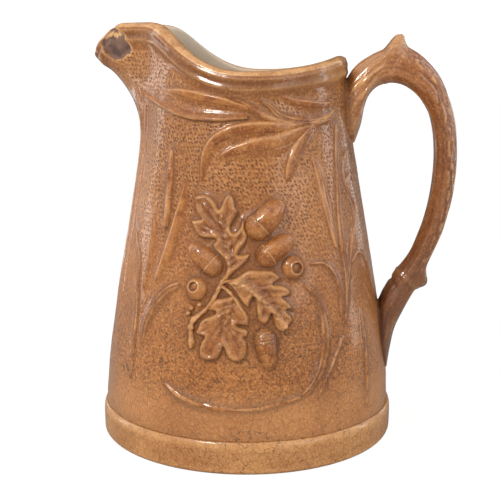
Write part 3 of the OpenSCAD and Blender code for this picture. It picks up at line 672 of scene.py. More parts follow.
# Grid and pits of the wall; each ridge or fold has its place, rise and spread
shell = {
    "turns": 312, "wallRows": 238, "collarRows": 18, "lipRows": 11, "insideRows": 30,
    "pitStep": 1.85, "pitRow": 1.95, "stippleZ": 34, "fullStippleZ": 84,
    "underCollar": 1.5, "collarSoft": 1.4, "runOut": 2.4, "palerTurn": 125,
    "collarRidges": [(8.4, 0.3, 0.7), (6, -0.55, 1.3), (3.6, 0.2, 0.6)],
    "collarCrests": [(8.4, 0.5, 0.6), (3.6, 0.35, 0.5)],
    "keelHeights": [166, 169, 180.6, 188], "keelTurns": [31, 25, 13.6, 10.8], "keelZ": 44,
    "keelFolds": [(25.5, 0.7, 1.6), (21.5, -0.5, 2.0), (16, 0.5, 2.2)],
    "seam": [(178.6, 0.35, 0.9)], "seamZ": [24, 170],
    "tip": [(199, 1.0, 3.2), (194.3, -0.9, 1.8), (189.5, 0.7, 2.2)], "tipTurns": 7,
}
foot = {"around": 288, "bandRows": 26, "coveRows": 8, "hollow": 0.7, "hollowFade": 3.5, "ledgeH": 4.4}


# Relief on the wall: the low strips, and the slip that swells and the glaze that pools round the high
# pieces; where several of those stand close together the slip fills the ground between them
def addRelief(u, band, out):
    for origin, strips in lowStrips.values():
        for points, *sizes in strips:
            addStrip(u, band, out, onList(points, starts[origin]), *sizes)
    crowd = np.zeros(band.shape)
    for outline in highOutlines:
        near = nearLine(u, band, outline)
        inside, gap = outlineField(np.stack([u[near], band[near]], -1), outline)
        gap = np.where(inside, 0, gap)
        raiseTo(out, "height", slip["rise"] * np.exp(-gap / slip["riseFade"]), near)
        raiseTo(out, "cavity", slip["pool"] * np.exp(-gap / slip["poolFade"]), near)
        out["stipple"][near] *= ease((gap - 1.2) / 2.6)
        crowd[near] += np.exp(-gap / slip["crowdFade"])
    raiseTo(out, "height", slip["crowdRise"] * ease((crowd - 0.7) / 0.6))
    raiseTo(out, "cavity", slip["crowdPool"] * ease((crowd - 0.75) / 0.6))


# Collar: its lower edge runs out softly, two uneven ridges stand on both sides of a hollow, and the
# lip and the side of the handle are paler
def addCollar(turns, depth, out):
    collarFoot = jug["collarH"] - shell["collarSoft"]
    runOut = collar(collarFoot) * np.exp(-(depth - collarFoot) / shell["runOut"]) - collar(depth)
    out["height"] += np.where(depth > collarFoot, runOut, 0)
    uneven = 0.8 + 0.4 * np.sin(turns / 7) * np.sin(turns / 17 + 1)
    out["height"] += uneven * bells(depth, shell["collarRidges"])
    raiseTo(out, "edge", uneven * bells(depth, shell["collarCrests"]))
    raiseTo(out, "edge", 0.9 * ease(2 - depth))
    paler = ease((turns - shell["palerTurn"]) / 25)
    raiseTo(out, "edge", 0.45 * paler * ease((jug["collarH"] - depth) / 2))
    # The glaze pools in the hollow between the ridges; the whole collar is also painted darker, a painted
    # shade that tones down the light it catches
    raiseTo(out, "cavity", 0.35 * bell(depth - 6, 1.6) + 0.4 * ease((jug["collarH"] + 4 - depth) / 4))


# Chip: sunk by its depth inside its outline and a little rough, with a pale edge round it, a dark line
# in the corner and a fresh break near the lip
def addChip(u, turns, band, out):
    scale = np.array([chip["mmPerDegree"], 1.0])
    near = (turns < chip["turns"]) & (band > chip["fromZ"])
    turn, z = turns[near], band[near]
    inside, gap = outlineField(np.stack([turn, z], -1) * scale, chip["outline"] * scale)
    sharp = np.where(inside, ease(gap / 0.4), 0)
    out["bare"][near] = sharp
    out["height"][near] -= chip["depth"] * sharp * (0.8 + 0.3 * ripple(u[near], z, 8, 6))
    for key in ("edge", "stipple", "cavity"):
        out[key][near] *= 1 - sharp
    raiseTo(out, "edge", 0.9 * ~inside * bell(gap - 0.6, 0.5), near)
    raiseTo(out, "cavity", 0.95 * inside * bell(gap, 0.45), near)
    broken = chip["freshZ"] + 0.5 * np.sin(2.1 * turn) + 0.35 * np.sin(5.3 * turn)
    fresh = sharp * ease((1.3 - np.abs(z - broken)) / 0.5)
    out["fresh"][near] = fresh * ease((chip["freshTurns"] - turn) / 0.8)


# One moulded half of the body, chipped or whole. Rows run up the outside, over the lip and down the
# inside; the outside is the wall's radius plus the relief, the collar's ridges, the keel and the chip.
def bodyFields(chipped):
    turn = np.linspace(0, 180, shell["turns"])[:, None]
    top = rimAt(turn)
    low = top - jug["collarH"] - shell["underCollar"]
    wall = jug["footH"] + (low - jug["footH"]) * np.linspace(0, 1, shell["wallRows"], endpoint=False)
    band = np.concatenate([wall, mix(low, top - jug["lipH"], np.linspace(0, 1, shell["collarRows"]))], 1)
    turns = np.broadcast_to(turn, band.shape)
    u = np.radians(turns - 90 + jug["ornamentTurn"]) * jug["panelR"]
    depth = top - band
    out = {k: np.zeros(band.shape) for k in ("height", "cavity", "edge", "inside", "bare", "fresh")}
    # The stipple stops at the collar, the plain band over the foot and the smooth keel of the spout
    keelTurn = np.interp(band, shell["keelHeights"], shell["keelTurns"])
    stipple = ease((band - shell["stippleZ"]) / 6) * ease((depth - jug["collarH"] - 1.5) / 2)
    stipple = stipple * mix(0.3, 1, ease((band - shell["fullStippleZ"]) / 40))
    out["stipple"] = stipple * mix(0.3, 1, ease((turns - keelTurn) / 2)) * ease((turns - keelTurn + 9) / 4)
    addRelief(u, band, out)
    addCollar(turns, depth, out)
    # The foot's ledge meets the wall in a shallow hollow
    raiseTo(out, "cavity", 0.15 * bell(band - jug["footH"] - 1.6, 1.6))
    out["height"] -= foot["hollow"] * np.exp(-(band - jug["footH"]) / foot["hollowFade"])
    # The wall is never quite true: long soft ripples from the mould and the hand
    out["height"] += 0.22 * ripple(u, band, 3, 38) * ease((band - 20) / 10) + 0.05 * ripple(u, band, 4, 9)
    # Keel under the spout: soft upright folds on both sides of the mould seam; the seam by the handle
    keel = ease((band - shell["keelZ"]) / 40) * ease((keelTurn + 4 - turns) / 6)
    out["height"] += keel * bells(turns, shell["keelFolds"])
    seamLow, seamTop = shell["seamZ"]
    out["height"] += bells(turns, shell["seam"]) * ease((seamTop - band) / 10) * ease((band - seamLow) / 8)
    # The spout's tip is blunt: it is fuller above and below its middle
    out["height"] += bell(turns, shell["tipTurns"]) * bells(band, shell["tip"])
    if chipped:
        addChip(u, turns, band, out)
    r = outerR(turns, band) + out["height"]
    # Lip: a half ellipse from the outer to the inner edge; inside: the wall's thickness further in
    w = np.pi * (np.arange(shell["lipRows"]) + 0.5) / shell["lipRows"]
    lipZ = top - jug["lipH"]
    lipR = mix(innerR(turn, lipZ), r[:, -1:], (1 + np.cos(w)) / 2)
    insideZ = mix(lipZ, jug["footH"], np.linspace(0, 1, shell["insideRows"]))
    radius = np.concatenate([r, lipR, innerR(turn, insideZ)], 1)
    heights = np.concatenate([band, lipZ + jug["lipH"] * np.sin(w), insideZ], 1)
    turns = np.broadcast_to(turn, heights.shape)
    beyond = ((0, 0), (0, shell["lipRows"] + shell["insideRows"]))
    fields = {key: np.pad(value, beyond) for key, value in out.items() if key != "height"}
    lip = slice(band.shape[1], band.shape[1] + shell["lipRows"])
    fields["edge"][:, lip] = 0.95 - 0.4 * ease(w / np.pi * 2 - 1)
    fields["bare"][:, lip] = out["bare"][:, -1:] * ease(1.6 - w)
    fields["inside"][:, lip] = ease((w - 1.9) / 0.8)
    fields["inside"][:, lip.stop:] = 1
    # Painted shade: the inside is painted darker further down from the lip
    fields["cavity"][:, lip.stop:] = np.minimum(0.75, 0.9 * ease((lipZ - insideZ) / 22))
    row = heights / shell["pitRow"]
    uv = np.stack([np.radians(turns) * jug["panelR"] / shell["pitStep"] + 0.5 * row, row], -1)
    return roundPoint(radius, turns, heights), fields, uv


for side, flip, chipped in (("Front", 1.0, True), ("Back", mirrorBack, False)):
    points, fields, uv = bodyFields(chipped)
    piece = meshPiece("body" + side, [ringPart(points * flip, fields, uv)])
    piece.data.materials.append(glazes["body"])
    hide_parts(f"body_{side.lower()}_half")
print("body halves made:", points.shape)


# Foot band and floor, one turned profile: recess, standing ring, rounded edge, band, ledge, floor
def footPiece():
    r, k = jug["footR"], jug["footRound"]
    bend = np.radians(np.linspace(-90, 0, 9))
    band = np.linspace(k + 0.5, jug["footH"] - foot["ledgeH"] - 0.1, foot["bandRows"])
    swell = np.radians(np.linspace(0, 90, 9))
    seat = innerR(90.0, jug["footH"])
    floorZ = jug["recess"] + jug["floorT"]
    cove = np.radians(np.linspace(0, 90, foot["coveRows"]))
    recessR = r - k - jug["ringW"]
    bandR = r + 0.12 * np.sin(np.pi * (band - k) / (jug["footH"] - k))
    shelf = roundR(np.array(jug["footH"])) - foot["hollow"] + 0.12
    profile = np.concatenate([
        [[0.05, jug["recess"]], [20, jug["recess"]], [recessR - 3, jug["recess"]], [recessR - 1.2, 1.3],
         [recessR, 0.2], [recessR + 0.5, 0], [r - k - 0.3, 0]],
        np.stack([r - k + k * np.cos(bend), k + k * np.sin(bend)], -1),
        np.stack([bandR, band], -1),
        np.stack([mix(shelf, bandR[-1], np.cos(swell)),
                  jug["footH"] - foot["ledgeH"] * (1 - np.sin(swell))], -1),
        [[seat, jug["footH"]]],
        np.stack([seat - jug["cove"] * (1 - np.cos(cove)), floorZ + jug["cove"] * (1 - np.sin(cove))], -1),
        [[30, floorZ], [0.05, floorZ]],
    ])
    a = circle(foot["around"])
    pr, pz = profile[:, :1], profile[:, 1:]
    outside = ease((pr - recessR) / 4) * ease((jug["footH"] + 0.1 - pz) * 4)
    wobble = 0.18 * np.sin(2 * a + 1) + 0.10 * np.sin(5 * a + 2.2) + 0.06 * np.sin(11 * a)
    pr = pr + outside * wobble * ease(pz / 3)
    p = np.stack([pr * np.cos(a), pr * np.sin(a), pz + 0 * a], -1)
    edge = bells(pz, [(jug["footH"] - 1.8, 0.5, 1.6), (2, 0.3, 1.2)])
    cavity = 0.55 * bell(pz - 0.2, 1.0)
    # The floor inside carries the pale inside glaze, painted darker as shade deep inside
    inside = np.zeros_like(edge)
    floorRows = slice(-foot["coveRows"] - 2, None)
    inside[floorRows], cavity[floorRows] = 1, 0.6
    return meshPiece("footBase", [ringPart(p, {"cavity": cavity, "edge": edge, "inside": inside})])


piece = footPiece()
piece.data.materials.append(glazes["foot"])
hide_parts("foot_base")
print("foot made")

# Branch handle: rows of outer height share and reach, inner height share and reach, width share
branch = {
    "rows": [
        [0.898, 0.01, 0.706, 0.01, 1], [0.942, 0.12, 0.768, 0.105, 0.95], [0.97, 0.25, 0.82, 0.16, 0.8],
        [0.988, 0.37, 0.856, 0.22, 0.4], [0.999, 0.49, 0.882, 0.315, 0.1], [0.988, 0.635, 0.892, 0.445, 0],
        [0.954, 0.78, 0.88, 0.58, 0], [0.895, 0.92, 0.843, 0.69, 0], [0.795, 0.995, 0.775, 0.765, 0],
        [0.687, 0.985, 0.69, 0.765, 0], [0.573, 0.905, 0.585, 0.69, 0], [0.452, 0.755, 0.475, 0.57, 0],
        [0.356, 0.58, 0.4, 0.43, 0], [0.277, 0.43, 0.332, 0.25, 0.1], [0.211, 0.285, 0.29, 0.15, 0.35],
        [0.14, 0.145, 0.258, 0.08, 0.65], [0.075, 0.07, 0.238, 0.042, 0.75], [0, 0.01, 0.222, 0.01, 0.6]],
    "rings": 420, "around": 128, "gripFrom": 0.38, "gripTo": 0.8, "flare": 1.4,
    "knopAt": 0.226, "knopH": 6.0, "knopSpread": 0.036, "stubAt": 0.753, "stubH": 4.0, "stubSpread": 0.018,
    "notchAt": 0.815, "notch": 0.9, "scalesAt": 1.05, "streaksAt": [0.95, 1.45],
}


# A ring is an ellipse between the outer and the inner edge; the bark adds long wandering ridges and
# scaly patches, and each cut twig a blunt cone on the outside of the bend
def handlePiece():
    t = np.linspace(0, 1, branch["rings"])
    row = along(branch["rows"], t)

    def edgeAt(share, reach):
        z = mix(jug["tailZ"], jug["archZ"], share)
        return np.stack([roundR(np.minimum(z, jug["rimZ"])) + jug["handleReach"] * reach, z], -1)

    outer, shaped = edgeAt(row[:, 0], row[:, 1]), edgeAt(row[:, 2], row[:, 3])
    grip = (ease((t - branch["gripFrom"]) / 0.15) * ease((branch["gripTo"] - t) / 0.12))[:, None]
    span = lengths(shaped - outer)[:, None]
    inner = mix(shaped, outer + (shaped - outer) / span * jug["gripT"], grip)
    centre, reach = (outer + inner) / 2, (outer - inner) / 2
    out = reach / lengths(reach)[:, None]
    flare = branch["flare"] * (ease((0.09 - t) / 0.09) + ease((t - 0.9) / 0.1))
    halfW = mix(jug["gripW"], jug["rootW"], row[:, 4]) / 2 + flare
    a = circle(branch["around"])
    t, turnA = t[:, None], a[None]
    wander = 2.2 * np.sin(2 * np.pi * 1.3 * t) + 1.1 * np.sin(2 * np.pi * 3.1 * t + 1)
    # Fine lines run along the upper root and the arch
    lines = 0.14 * np.sin(25 * turnA + 2.6 * wander) * ease((0.42 - t) / 0.2)
    bark = lines + 0.24 * np.sin(6 * turnA + wander) + 0.13 * np.sin(11 * turnA - 1.4 * wander + 2)
    bark = bark + 0.08 * np.sin(19 * turnA + 2.1 * wander + 9 * t)
    # Scales of bark in a band on the arris towards the front, and two long ridges over the root
    arris = np.exp((np.cos(a + branch["scalesAt"] + 0.25 * np.sin(17 * t)) - 1) / 0.1)
    scaly = ease((t - 0.24) / 0.1) * ease((0.78 - t) / 0.1) * arris
    scale = ease((ripple(t * 130, 7.2 * turnA, 14, 3) - 0.15) / 0.3)
    aside = np.stack([np.arctan2(np.sin(a + at), np.cos(a + at)) for at in branch["streaksAt"]])[:, None]
    streaks = 0.6 * bell(aside + 0.5 * np.sin(9 * t), 0.1).sum(0) * ease((0.23 - t) / 0.05) * ease(t / 0.05)
    bark = bark * mix(0.9, 0.6, ease((t - 0.3) / 0.3)) + 0.3 * scaly * (scale - 0.3) + streaks
    facing = np.maximum(0, np.cos(a))
    knop = np.exp(-np.abs((t - branch["knopAt"]) / branch["knopSpread"]) ** 3.2) * facing ** 1.6
    stub = np.exp(-np.abs((t - branch["stubAt"]) / branch["stubSpread"]) ** 2.4) * facing ** 2
    rough = 0.03 * np.sin(2 * np.pi * t / 0.013 + 5 * turnA) * np.sin(9 * turnA)
    bump = branch["knopH"] * knop * (1 + rough) + branch["stubH"] * stub * (1 + rough)
    ringLine = bells(t, [(branch["stubAt"] + 0.022, 0.4, 0.006), (branch["knopAt"] + 0.045, 0.3, 0.008)])
    notchLine = bell(t - branch["notchAt"], 0.01)
    notch = branch["notch"] * notchLine * np.maximum(0, -np.cos(a)) ** 2
    swell = bark + ringLine - notch
    across = (lengths(reach)[:, None] + swell) * np.cos(a) + bump
    y = (halfW[:, None] + swell) * np.sin(a)
    p2 = centre[:, None] + out[:, None] * across[..., None]
    p = np.stack([p2[..., 0], y, p2[..., 1]], -1)
    p, gap = seatOnWall(p, 0.2)
    # Both ends run into the wall
    r = lengths(p[..., :2])
    root = ease((0.012 - np.minimum(t, 1 - t)) / 0.012)
    p = fromAxis(p, mix(1.0, (r - gap - 0.5) / r, root))
    cavity = clamp01(-1.5 * bark) * 0.7 + 0.75 * np.exp(-np.maximum(gap, 0) / 1.4)
    # The handle is darker from the grip down, and in the notch
    lower = 0.5 * ease((t - 0.34) / 0.25) + 0.25 * ease((t - 0.66) / 0.1)
    cavity = cavity + 0.6 * notchLine * (np.cos(a) < 0) + lower * (1 - 0.3 * scaly)
    cavity = cavity + 0.25 * scaly * (1 - scale)
    # Pale where the glaze runs thin on bark ridges, scales, the knop and ring lines; the long ridges over the
    # root are painted pale too, partly a painted highlight
    edge = clamp01(1.3 * bark) * 0.4 + 0.4 * scaly * scale + 0.35 * knop + 0.5 * ringLine + streaks
    # Painted highlight: the upper root and arch are painted lighter, most on one side
    edge = edge + 0.55 * ease((0.32 - t) / 0.12) * (0.35 + 0.65 * np.maximum(0, np.cos(a - 0.6)))
    return meshPiece("branchHandle", [ringPart(p, glazeFields(cavity, edge))])


piece = handlePiece()
piece.data.materials.append(glazes["handle"])
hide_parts("handle")
print("handle made")


# Low strips: rings across the blade and back under it. A leaf rises softly from one edge to a crest and
# rounds off steeply to the crisp other edge, which has teeth on a ragged leaf; a fold rises more slowly.
# A stem is one soft wave across, a reed has a groove along it and a rush has rows of seeds.
blade = {"rings": 150, "across": 37, "under": 5, "sink": 0.35, "leafWide": 1.12, "stemWide": 1.35,
         "tooth": 4.6, "toothOut": 0.3, "seed": 1.7}


def bladePoints(points, halfW, high, start, end, kind, crisp):
    t = np.linspace(0, 1, blade["rings"])
    path, w, h, side = stripPath(points, halfW, high, start, end, t)
    run = np.concatenate([[0], np.cumsum(lengths(np.diff(path, axis=0)))])[:, None]
    s = np.linspace(-1, 1, blade["across"])
    b = np.sign(s) * (1 - (1 - np.abs(s)) ** 1.4)
    c = crisp * b
    saw = (run / blade["tooth"] + 0.3 * np.sin(run)) % 1
    if kind == "ragged":
        teeth = blade["toothOut"] * (saw - 0.5) * ease(4 - 4 * saw)
    else:
        teeth = 0.05 * np.sin(run / 2.3 + 1)
    leafy, grooved = kind in leafKinds, kind in ("reed", "groove")
    wide = w[:, None] * (blade["leafWide" if leafy else "stemWide"] + teeth * np.maximum(0, c))
    q = path[:, None] + side[:, None] * (b * wide)[..., None]
    if leafy:
        softSide = 1.5 if kind == "fold" else 0.85
        rim = np.sqrt(clamp01(1 - np.maximum(0, (c - 0.5) / 0.5) ** 2)) * ease((c + 1) / softSide)
        top = 1.25 * (0.62 + 0.38 * ease((c + 0.9) / 1.5)) * (1 + 0.06 * np.sin(run / 3.1 + 2 * c))
        crest = 0.75 * bell(c - 0.68, 0.2)
    else:
        rim = 0.5 + 0.5 * np.cos(np.pi * b) + 0 * run
        top = 0.85 + 0.18 * np.sin(run / 4.2 + 1) + 0.1 * np.sin(run / 1.7)
        crest = 0.8 * bell(b, 0.4) * ease(0.6 + 0.6 * np.sin(run / 5.3))
    if grooved:
        top = top + 0.25 - 0.45 * bell(b, 0.25)
        crest = 0.8 * bell(np.abs(b) - 0.45, 0.2) * ease(0.8 + 0.6 * np.sin(run / 5.3))
    if kind == "rush":
        top = top + 0.15 + 0.06 * np.sin(2 * np.pi * run / blade["seed"]) * np.sin(9 * b)
    rise = h[:, None] * top * rim
    back = np.linspace(1, -1, blade["under"] + 2)[1:-1]
    qBack = path[:, None] + side[:, None] * (back * w[:, None])[..., None]
    places = np.concatenate([q, qBack], 1)
    heights = np.concatenate([rise - blade["sink"] * (1 - rim), np.full(qBack.shape[:2], -blade["sink"])], 1)
    under = np.zeros(qBack.shape[:2])
    # Pale along the crest where the glaze runs thin, partly a painted highlight; darker low by the edges,
    # pooled glaze and partly a painted shadow, less of it on a leaf's soft side
    edge = 0.75 * crest * ease(rise / 0.8)
    low = 0.35 * (1 - ease(rise / 0.5)) * (np.where(c < 0, 0.3, 1) if leafy else 1)
    cavity = 0.5 * bell(b, 0.25) * grooved + low
    fields = glazeFields(np.concatenate([cavity, under + 1], 1), np.concatenate([edge, under], 1))
    return onPanel(places[..., 0], places[..., 1], heights), fields


# Distance of the places from the nearest of a line's points, and that point's share of the line
def lineGap(q, line):
    t = np.linspace(0, 1, 60)
    gap = lengths(q[:, None] - onList(along(line, t), hub))
    return gap.min(1), t[gap.argmin(1)]


# Oak leaf: a patch whose height follows the distance d inside the outline. It rises in a quarter round
# to a rolled rim and hollows a little inside it; the midrib and veins stand up between grooves. Outside
# the outline the patch dips under the wall.
leafShape = {"step": 0.36, "border": 1.4, "high": 2.5, "round": 2.3, "rolled": 0.6, "under": -1.6}


def leafPatch(outline, rib, ribW, ribHigh, hollow, veins):
    edgeLine = onList(along(outline + outline[:1], np.linspace(0, 1, 4 * len(outline), endpoint=False)), hub)
    low, top = edgeLine.min(0) - leafShape["border"], edgeLine.max(0) + leafShape["border"]
    steps = (np.arange(a, b, leafShape["step"]) for a, b in zip(low, top))
    grid = np.stack(np.meshgrid(*steps, indexing="ij"), -1)
    q = grid.reshape(-1, 2)
    inside, gap = outlineField(q, edgeLine)
    d = np.where(inside, gap, -gap)
    full = np.sqrt(1 - (1 - clamp01(d / leafShape["round"])) ** 2)
    rolled = bell(d - 1.3, 0.7)
    within = ease((d - 1.5) / 1.8)
    ribGap, t = lineGap(q, rib)
    ribW = ribW * mix(1.15, 0.6, t)
    groove = bell(ribGap - 2.1 * ribW, 0.7 * ribW)
    ridge = ribHigh * bell(ribGap, ribW) - 0.35 * groove
    for vein in veins:
        veinGap, t = lineGap(q, vein)
        beside = bell(veinGap - 1.5, 0.6)
        ridge = ridge + mix(0.3, 0.1, t) * bell(veinGap, 0.6) - mix(0.5, 0.2, t) * beside
        groove = np.maximum(groove, mix(0.9, 0.4, t) * beside)
    high = leafShape["high"] + leafShape["rolled"] * rolled - hollow * within + ridge * ease(d / 1.2)
    high = full * (high + 0.2 * ripple(q[:, 0], q[:, 1], 6, 6)) - 1.3 * ease(-d / 0.9)
    uneven = 0.75 + 0.35 * ripple(q[:, 0], q[:, 1], 9, 11)
    # The midrib is painted pale, partly a painted highlight; the rim is pale where the glaze runs thin
    paleRib = 0.6 * min(1, ribHigh) * bell(ribGap, 0.8 * ribW) * ease(d / 2)
    edge = uneven * bell(d - 0.8, 0.5) + paleRib + 0.25 * bell(d - 2, 1)
    cavity = 0.9 * np.exp(-np.maximum(d, 0) / 0.35) + within * (0.3 * hollow * (1 - edge) + 0.4 * groove)
    inCells = (d > -1.0).reshape(grid.shape[:2])
    cells = inCells[:-1, :-1] | inCells[1:, :-1] | inCells[:-1, 1:] | inCells[1:, 1:]
    heights = np.stack([high, np.full_like(high, leafShape["under"])]).reshape(2, *grid.shape[:2])
    fields = glazeFields(cavity, edge)
    return [(onPanel(grid[None, ..., 0], grid[None, ..., 1], heights), fields, cells)]


# Stalk: a round strip with a knobbly bark, swollen where buds were, the short stalks of the three
# leaves, and three buds beside it
stalkShape = {
    "rings": 130, "around": 40, "half": 1.3, "leafHalf": 1.15, "high": 2.4, "under": -0.35,
    "knots": [(0.62, 0.5, 0.035), (0.78, 0.6, 0.03), (0.93, 0.5, 0.03)],
    "leafStalks": [
        [[0.2, -0.6], [0.8, 0.4], [1.7, 1.6]],
        [[-0.4, -1], [1.6, -0.2], [4.2, -0.6]],
        [[-0.6, -1.6], [1.4, -2.6], [3.6, -4.8]]],
    "buds": [[-9.6, -9.4], [-10.6, -11.2], [-7.0, -8.2]], "budR": 1.35, "budH": 1.7,
}


def stalkPoints():
    t = np.linspace(0, 1, stalkShape["rings"])
    a = circle(stalkShape["around"])
    knots = bells(t, stalkShape["knots"])
    surfaces = []
    strips = [(stalk, stalkShape["half"], 1.0)]
    strips += [(points, stalkShape["leafHalf"], 0.0) for points in stalkShape["leafStalks"]]
    for points, half, knotty in strips:
        path = onList(along(points, t), hub)
        wide = (half * mix(mix(0.9, 0.8, t), 1, np.sin(np.pi * t)) + knotty * knots)[:, None]
        bark = 0.14 * np.sin(5 * a + 14 * t[:, None]) + 0.1 * np.sin(60 * t)[:, None]
        q = path[:, None] + sideways(path)[:, None] * ((wide + bark) * np.cos(a))[..., None]
        high = (stalkShape["high"] + 0.5 * knotty * knots[:, None] + bark) * np.sin(a)
        high = np.maximum(stalkShape["under"], high)
        fields = glazeFields(1 - high / 1.4, 0.8 * ease((high - 1.5) / 0.9))
        surfaces.append((onPanel(q[..., 0], q[..., 1], high), fields))
    w = np.radians(np.linspace(-20, 88, 14))[:, None]
    for at in onList(stalkShape["buds"], hub):
        q = at + stalkShape["budR"] * np.stack([np.cos(w) * np.cos(a), np.cos(w) * np.sin(a)], -1)
        high = stalkShape["budH"] * np.sin(w) + 0 * a
        fields = glazeFields(0.9 - high / 1.2, 0.7 * ease((high - 1.1) / 0.5))
        surfaces.append((onPanel(q[..., 0], q[..., 1], high), fields))
    return surfaces


# Local piece to the wall: X runs round the wall, Y up along it and Z stands out of it
def placeOnWall(local, at, lift):
    u, z = onList(at, hub)
    lean = np.arctan(roundR(z - 0.5) - roundR(z + 0.5))
    x, y, h = local[..., 0], local[..., 1], local[..., 2] + lift
    flat = np.stack([x, y * np.sin(lean) - h * np.cos(lean) - roundR(z),
                     y * np.cos(lean) + h * np.sin(lean) + z], -1)
    a = np.radians(panelTurn(u) - 90)
    turned = np.stack([flat[..., 0] * np.cos(a) - flat[..., 1] * np.sin(a),
                       flat[..., 0] * np.sin(a) + flat[..., 1] * np.cos(a), flat[..., 2]], -1)
    return seatOnWall(turned, 0.35)


# Acorn: a cup covered with staggered scales and a smooth pointed nut, turned round one axis
acornShape = {"around": 72, "cup": 0.35, "nut": 0.95, "round": 0.52, "scale": 1.5}


def acornPoints(start, end, radius, rough):
    span = np.array(end) - np.array(start)
    length = lengths(span) * jug["unit"]
    cupL = acornShape["cup"] * length
    w = np.radians(np.linspace(2, 90, 26))
    cupX, cupW = cupL * (1 - np.cos(w)) * 0.9, radius * np.sin(w)
    lipX = cupL * (0.9 + 0.1 * np.linspace(0.3, 1, 4))
    lipR = radius * np.array([1.02, 1.03, 1.0, 0.95])
    v = np.radians(np.linspace(0, 88, 34))
    nutX = cupL + (length - cupL) * (0.93 * np.sin(v) + 0.07 * ease((v - 1.2) / 0.33))
    nutR = radius * acornShape["nut"] * np.cos(v) ** acornShape["round"] + 0.03
    x, r = np.concatenate([cupX, lipX, nutX]), np.concatenate([cupW, lipR, nutR])
    a = circle(acornShape["around"])
    onCup = ease((cupL - x) / 0.5)[:, None]
    rows = x[:, None] / acornShape["scale"]
    scales = np.abs(np.sin(np.pi * rows)) * np.abs(np.sin(8 * a + np.pi / 2 * np.floor(rows)))
    lines = 0.05 * np.sin(7 * a + 2 * np.sin(x)[:, None])
    ring = r[:, None] + (onCup * rough * (scales - 0.35) + (1 - onCup) * lines) * ease(r / 2)[:, None]
    direction = np.arctan2(span[1], span[0])
    onward, over = x[:, None] + 0 * a, ring * np.cos(a)
    local = np.stack([onward * np.cos(direction) - over * np.sin(direction),
                      onward * np.sin(direction) + over * np.cos(direction), ring * np.sin(a)], -1)
    p, gap = placeOnWall(local, start, -0.2 * radius)
    joint = bell(x - cupL - 0.35, 0.3)[:, None]
    cavity = 1.2 * rough * onCup * (1 - scales) + 0.6 * joint + 0.85 * np.exp(-np.maximum(gap, 0) / 1.3)
    paleRings = bells(x, [(cupL - 0.15, 0.95, 0.3), (length, 0.6, 0.8)])[:, None]
    edge = rough * onCup * scales + paleRings
    return [(p, glazeFields(cavity, edge))]


# Empty cup: a smooth dome with a small rimmed hole off its middle
cupShape = {"around": 84, "rows": 44, "high": 0.72, "deep": 1.1}


def cupPoints(at, hole, holeR):
    w = np.radians(np.concatenate([[-18, -8], np.linspace(0, 89.5, cupShape["rows"])]))[:, None]
    a = circle(cupShape["around"])
    x, y = cupR * np.cos(w) * np.cos(a), cupR * np.cos(w) * np.sin(a)
    gap = np.hypot(x - hole[0], y - hole[1])
    high = cupShape["high"] * cupR * np.sin(w) - cupShape["deep"] * ease((holeR - gap) / 0.8)
    high = high + 0.4 * bell(gap - holeR - 0.3, 0.45) + 0.5 * bell(gap, 0.8)
    p, lift = placeOnWall(np.stack([x, y, high], -1), at, 0.0)
    cavity = 0.8 * bell(gap - holeR + 0.5, 0.6) + 0.8 * np.exp(-np.maximum(lift, 0) / 1.1)
    edge = 0.9 * bell(gap - holeR - 0.4, 0.4)
    return [(p, glazeFields(cavity, edge))]


sprigs = {name: leafPatch(**leaf) for name, leaf in leaves.items()}
sprigs["sprayStem"] = stalkPoints()
sprigs.update({name: acornPoints(*ends) for name, ends in acorns.items()})
sprigs.update({name: cupPoints(*cup) for name, cup in emptyCups.items()})
for name, (origin, strips) in lowStrips.items():
    sprigs[name] = [bladePoints(onList(points, starts[origin]), *sizes) for points, *sizes in strips]
for name, surfaces in sprigs.items():
    cadNode = "".join("_" + c.lower() if c.isupper() else c for c in name)
    for side, flip in (("front", 1.0), ("back", mirrorBack)):
        parts = [(patchPart if cells else ringPart)(p * flip, fields, *cells)
                 for p, fields, *cells in surfaces]
        piece = meshPiece(side + name[0].upper() + name[1:], parts)
        piece.data.materials.append(glazes["relief"])
        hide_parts(f"{side}_{cadNode}")
print("sprigs made:", 2 * len(sprigs))

# White paper under the jug, almost without a shadow for the camera, and a white tent round it that
# is brighter above and at both sides; lamps by place, size, power, aim and, for a strip, height
studio = {
    "paper": "#f6f5f3", "mirrored": "#94908b", "half": 4, "glow": 0.92, "bright": 1.03, "backdrop": 1.1,
    "front": 0.33, "above": 0.6, "sides": 0.3, "behind": 0.15,
    "tent": (1, 0.985, 0.97, 1), "lamp": (1, 0.97, 0.93),
}
middle, upper = (0, 0, 0.1), (0, 0, 0.3)
lamps = {
    "key": ((-0.52, -0.84, 0.92), 0.3, 10.6, middle, None),
    "fill": ((0.8, -0.7, 0.5), 0.8, 2.6, middle, None),
    # Upright strips beside and behind the jug: the streaks down its flanks
    "stripLeft": ((-0.62, 0.1, 0.3), 0.1, 0.8, upper, 0.8),
    "rimLeft": ((-0.52, 0.52, 0.3), 0.15, 0.7, upper, 0.8),
    "stripRight": ((0.62, 0.1, 0.3), 0.1, 0.8, upper, 0.8),
    "rimRight": ((0.52, 0.52, 0.3), 0.15, 0.7, upper, 0.8),
}
floorMesh = bpy.data.meshes.new("floor")
half = studio["half"]
corners = [(-half, -half, 0), (half, -half, 0), (half, half, 0), (-half, half, 0)]
floorMesh.from_pydata(corners, [], [(0, 1, 2, 3)])
floor = bpy.data.objects.new("floor", floorMesh)
bpy.context.collection.objects.link(floor)
paper = bpy.data.materials.new("white paper sweep")
node = freshTree(paper)
seen = node("LightPath", out="Is Camera Ray")
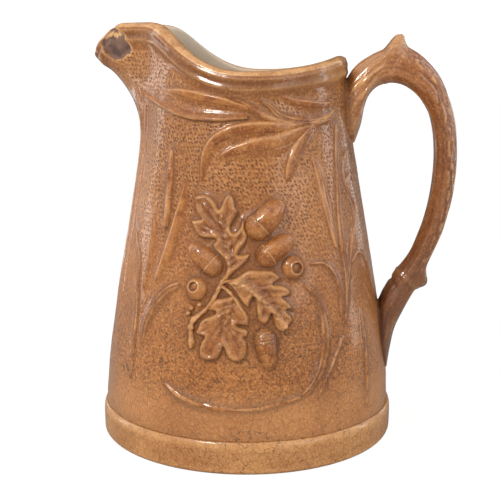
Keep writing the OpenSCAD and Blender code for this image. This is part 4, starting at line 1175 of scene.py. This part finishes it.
# In the glaze's reflections the sweep is a dim grey, so that the flanks keep their dark edges
shade = node("Mix", blend, {
    0: seen.node.outputs["Is Glossy Ray"], 6: linear(studio["paper"]), 7: linear(studio["mirrored"])}, 2)
both = node("MixShader", None, [
    node("Math", times, [seen, studio["glow"]]), node("BsdfDiffuse", None, {"Color": shade}),
    node("Emission", None, {"Strength": studio["bright"]})])
node("OutputMaterial", None, {"Surface": both})
floorMesh.materials.append(paper)

world = bpy.data.worlds.new("white tent")
bpy.context.scene.world = world
node = freshTree(world)
seen = node("LightPath", out="Is Camera Ray")
way = node("SeparateXYZ", None, [node("TexCoord", out="Generated")]).node.outputs
# Light from above, less from the sides and the front, dark straight behind
above = node("MapRange", soft, [way["Z"], 0.25, 0.85, 0, studio["above"]])
across = node("Math", {"operation": "ABSOLUTE"}, [way["X"]])
sides = node("MapRange", soft, [across, 0.6, 0.95, 0, studio["sides"]])
power = node("Math", plus, [node("Math", plus, [above, sides]), studio["front"]])
power = node("Math", times, [power, node("MapRange", soft, [way["Y"], 0.5, 0.75, 1, studio["behind"]])])
pick = node("MixShader", None, [
    seen, node("Background", None, {"Color": studio["tent"], "Strength": power}),
    node("Background", None, {"Color": (1, 1, 1, 1), "Strength": studio["backdrop"]})])
node("OutputWorld", None, {"Surface": pick})


# Place and turn of a lamp or camera that looks along a direction
def aimed(at, way):
    return Matrix.Translation(at) @ Vector(way).to_track_quat("-Z", "Y").to_matrix().to_4x4()


for name, (at, size, power, target, tall) in lamps.items():
    lamp = bpy.data.lights.new(name, "AREA")
    lamp.shape = "RECTANGLE" if tall else "DISK"
    lamp.size = size
    lamp.size_y = tall or size
    lamp.energy = power
    lamp.color = studio["lamp"]
    holder = bpy.data.objects.new(name, lamp)
    holder.matrix_world = aimed(at, Vector(target) - Vector(at))
    bpy.context.collection.objects.link(holder)

# Camera of the photograph
view = {"at": (0.0469, -0.5179, 0.1917), "way": (-0.0856, 0.9787, -0.1864), "lens": 73.1, "sensor": 36}
camera = bpy.data.cameras.new("camera")
camera.lens = view["lens"]
camera.sensor_width = view["sensor"]
holder = bpy.data.objects.new("camera", camera)
holder.matrix_world = aimed(view["at"], view["way"])
bpy.context.collection.objects.link(holder)
bpy.context.scene.camera = holder
bpy.context.scene.view_settings.view_transform = "Standard"
print("stage set")
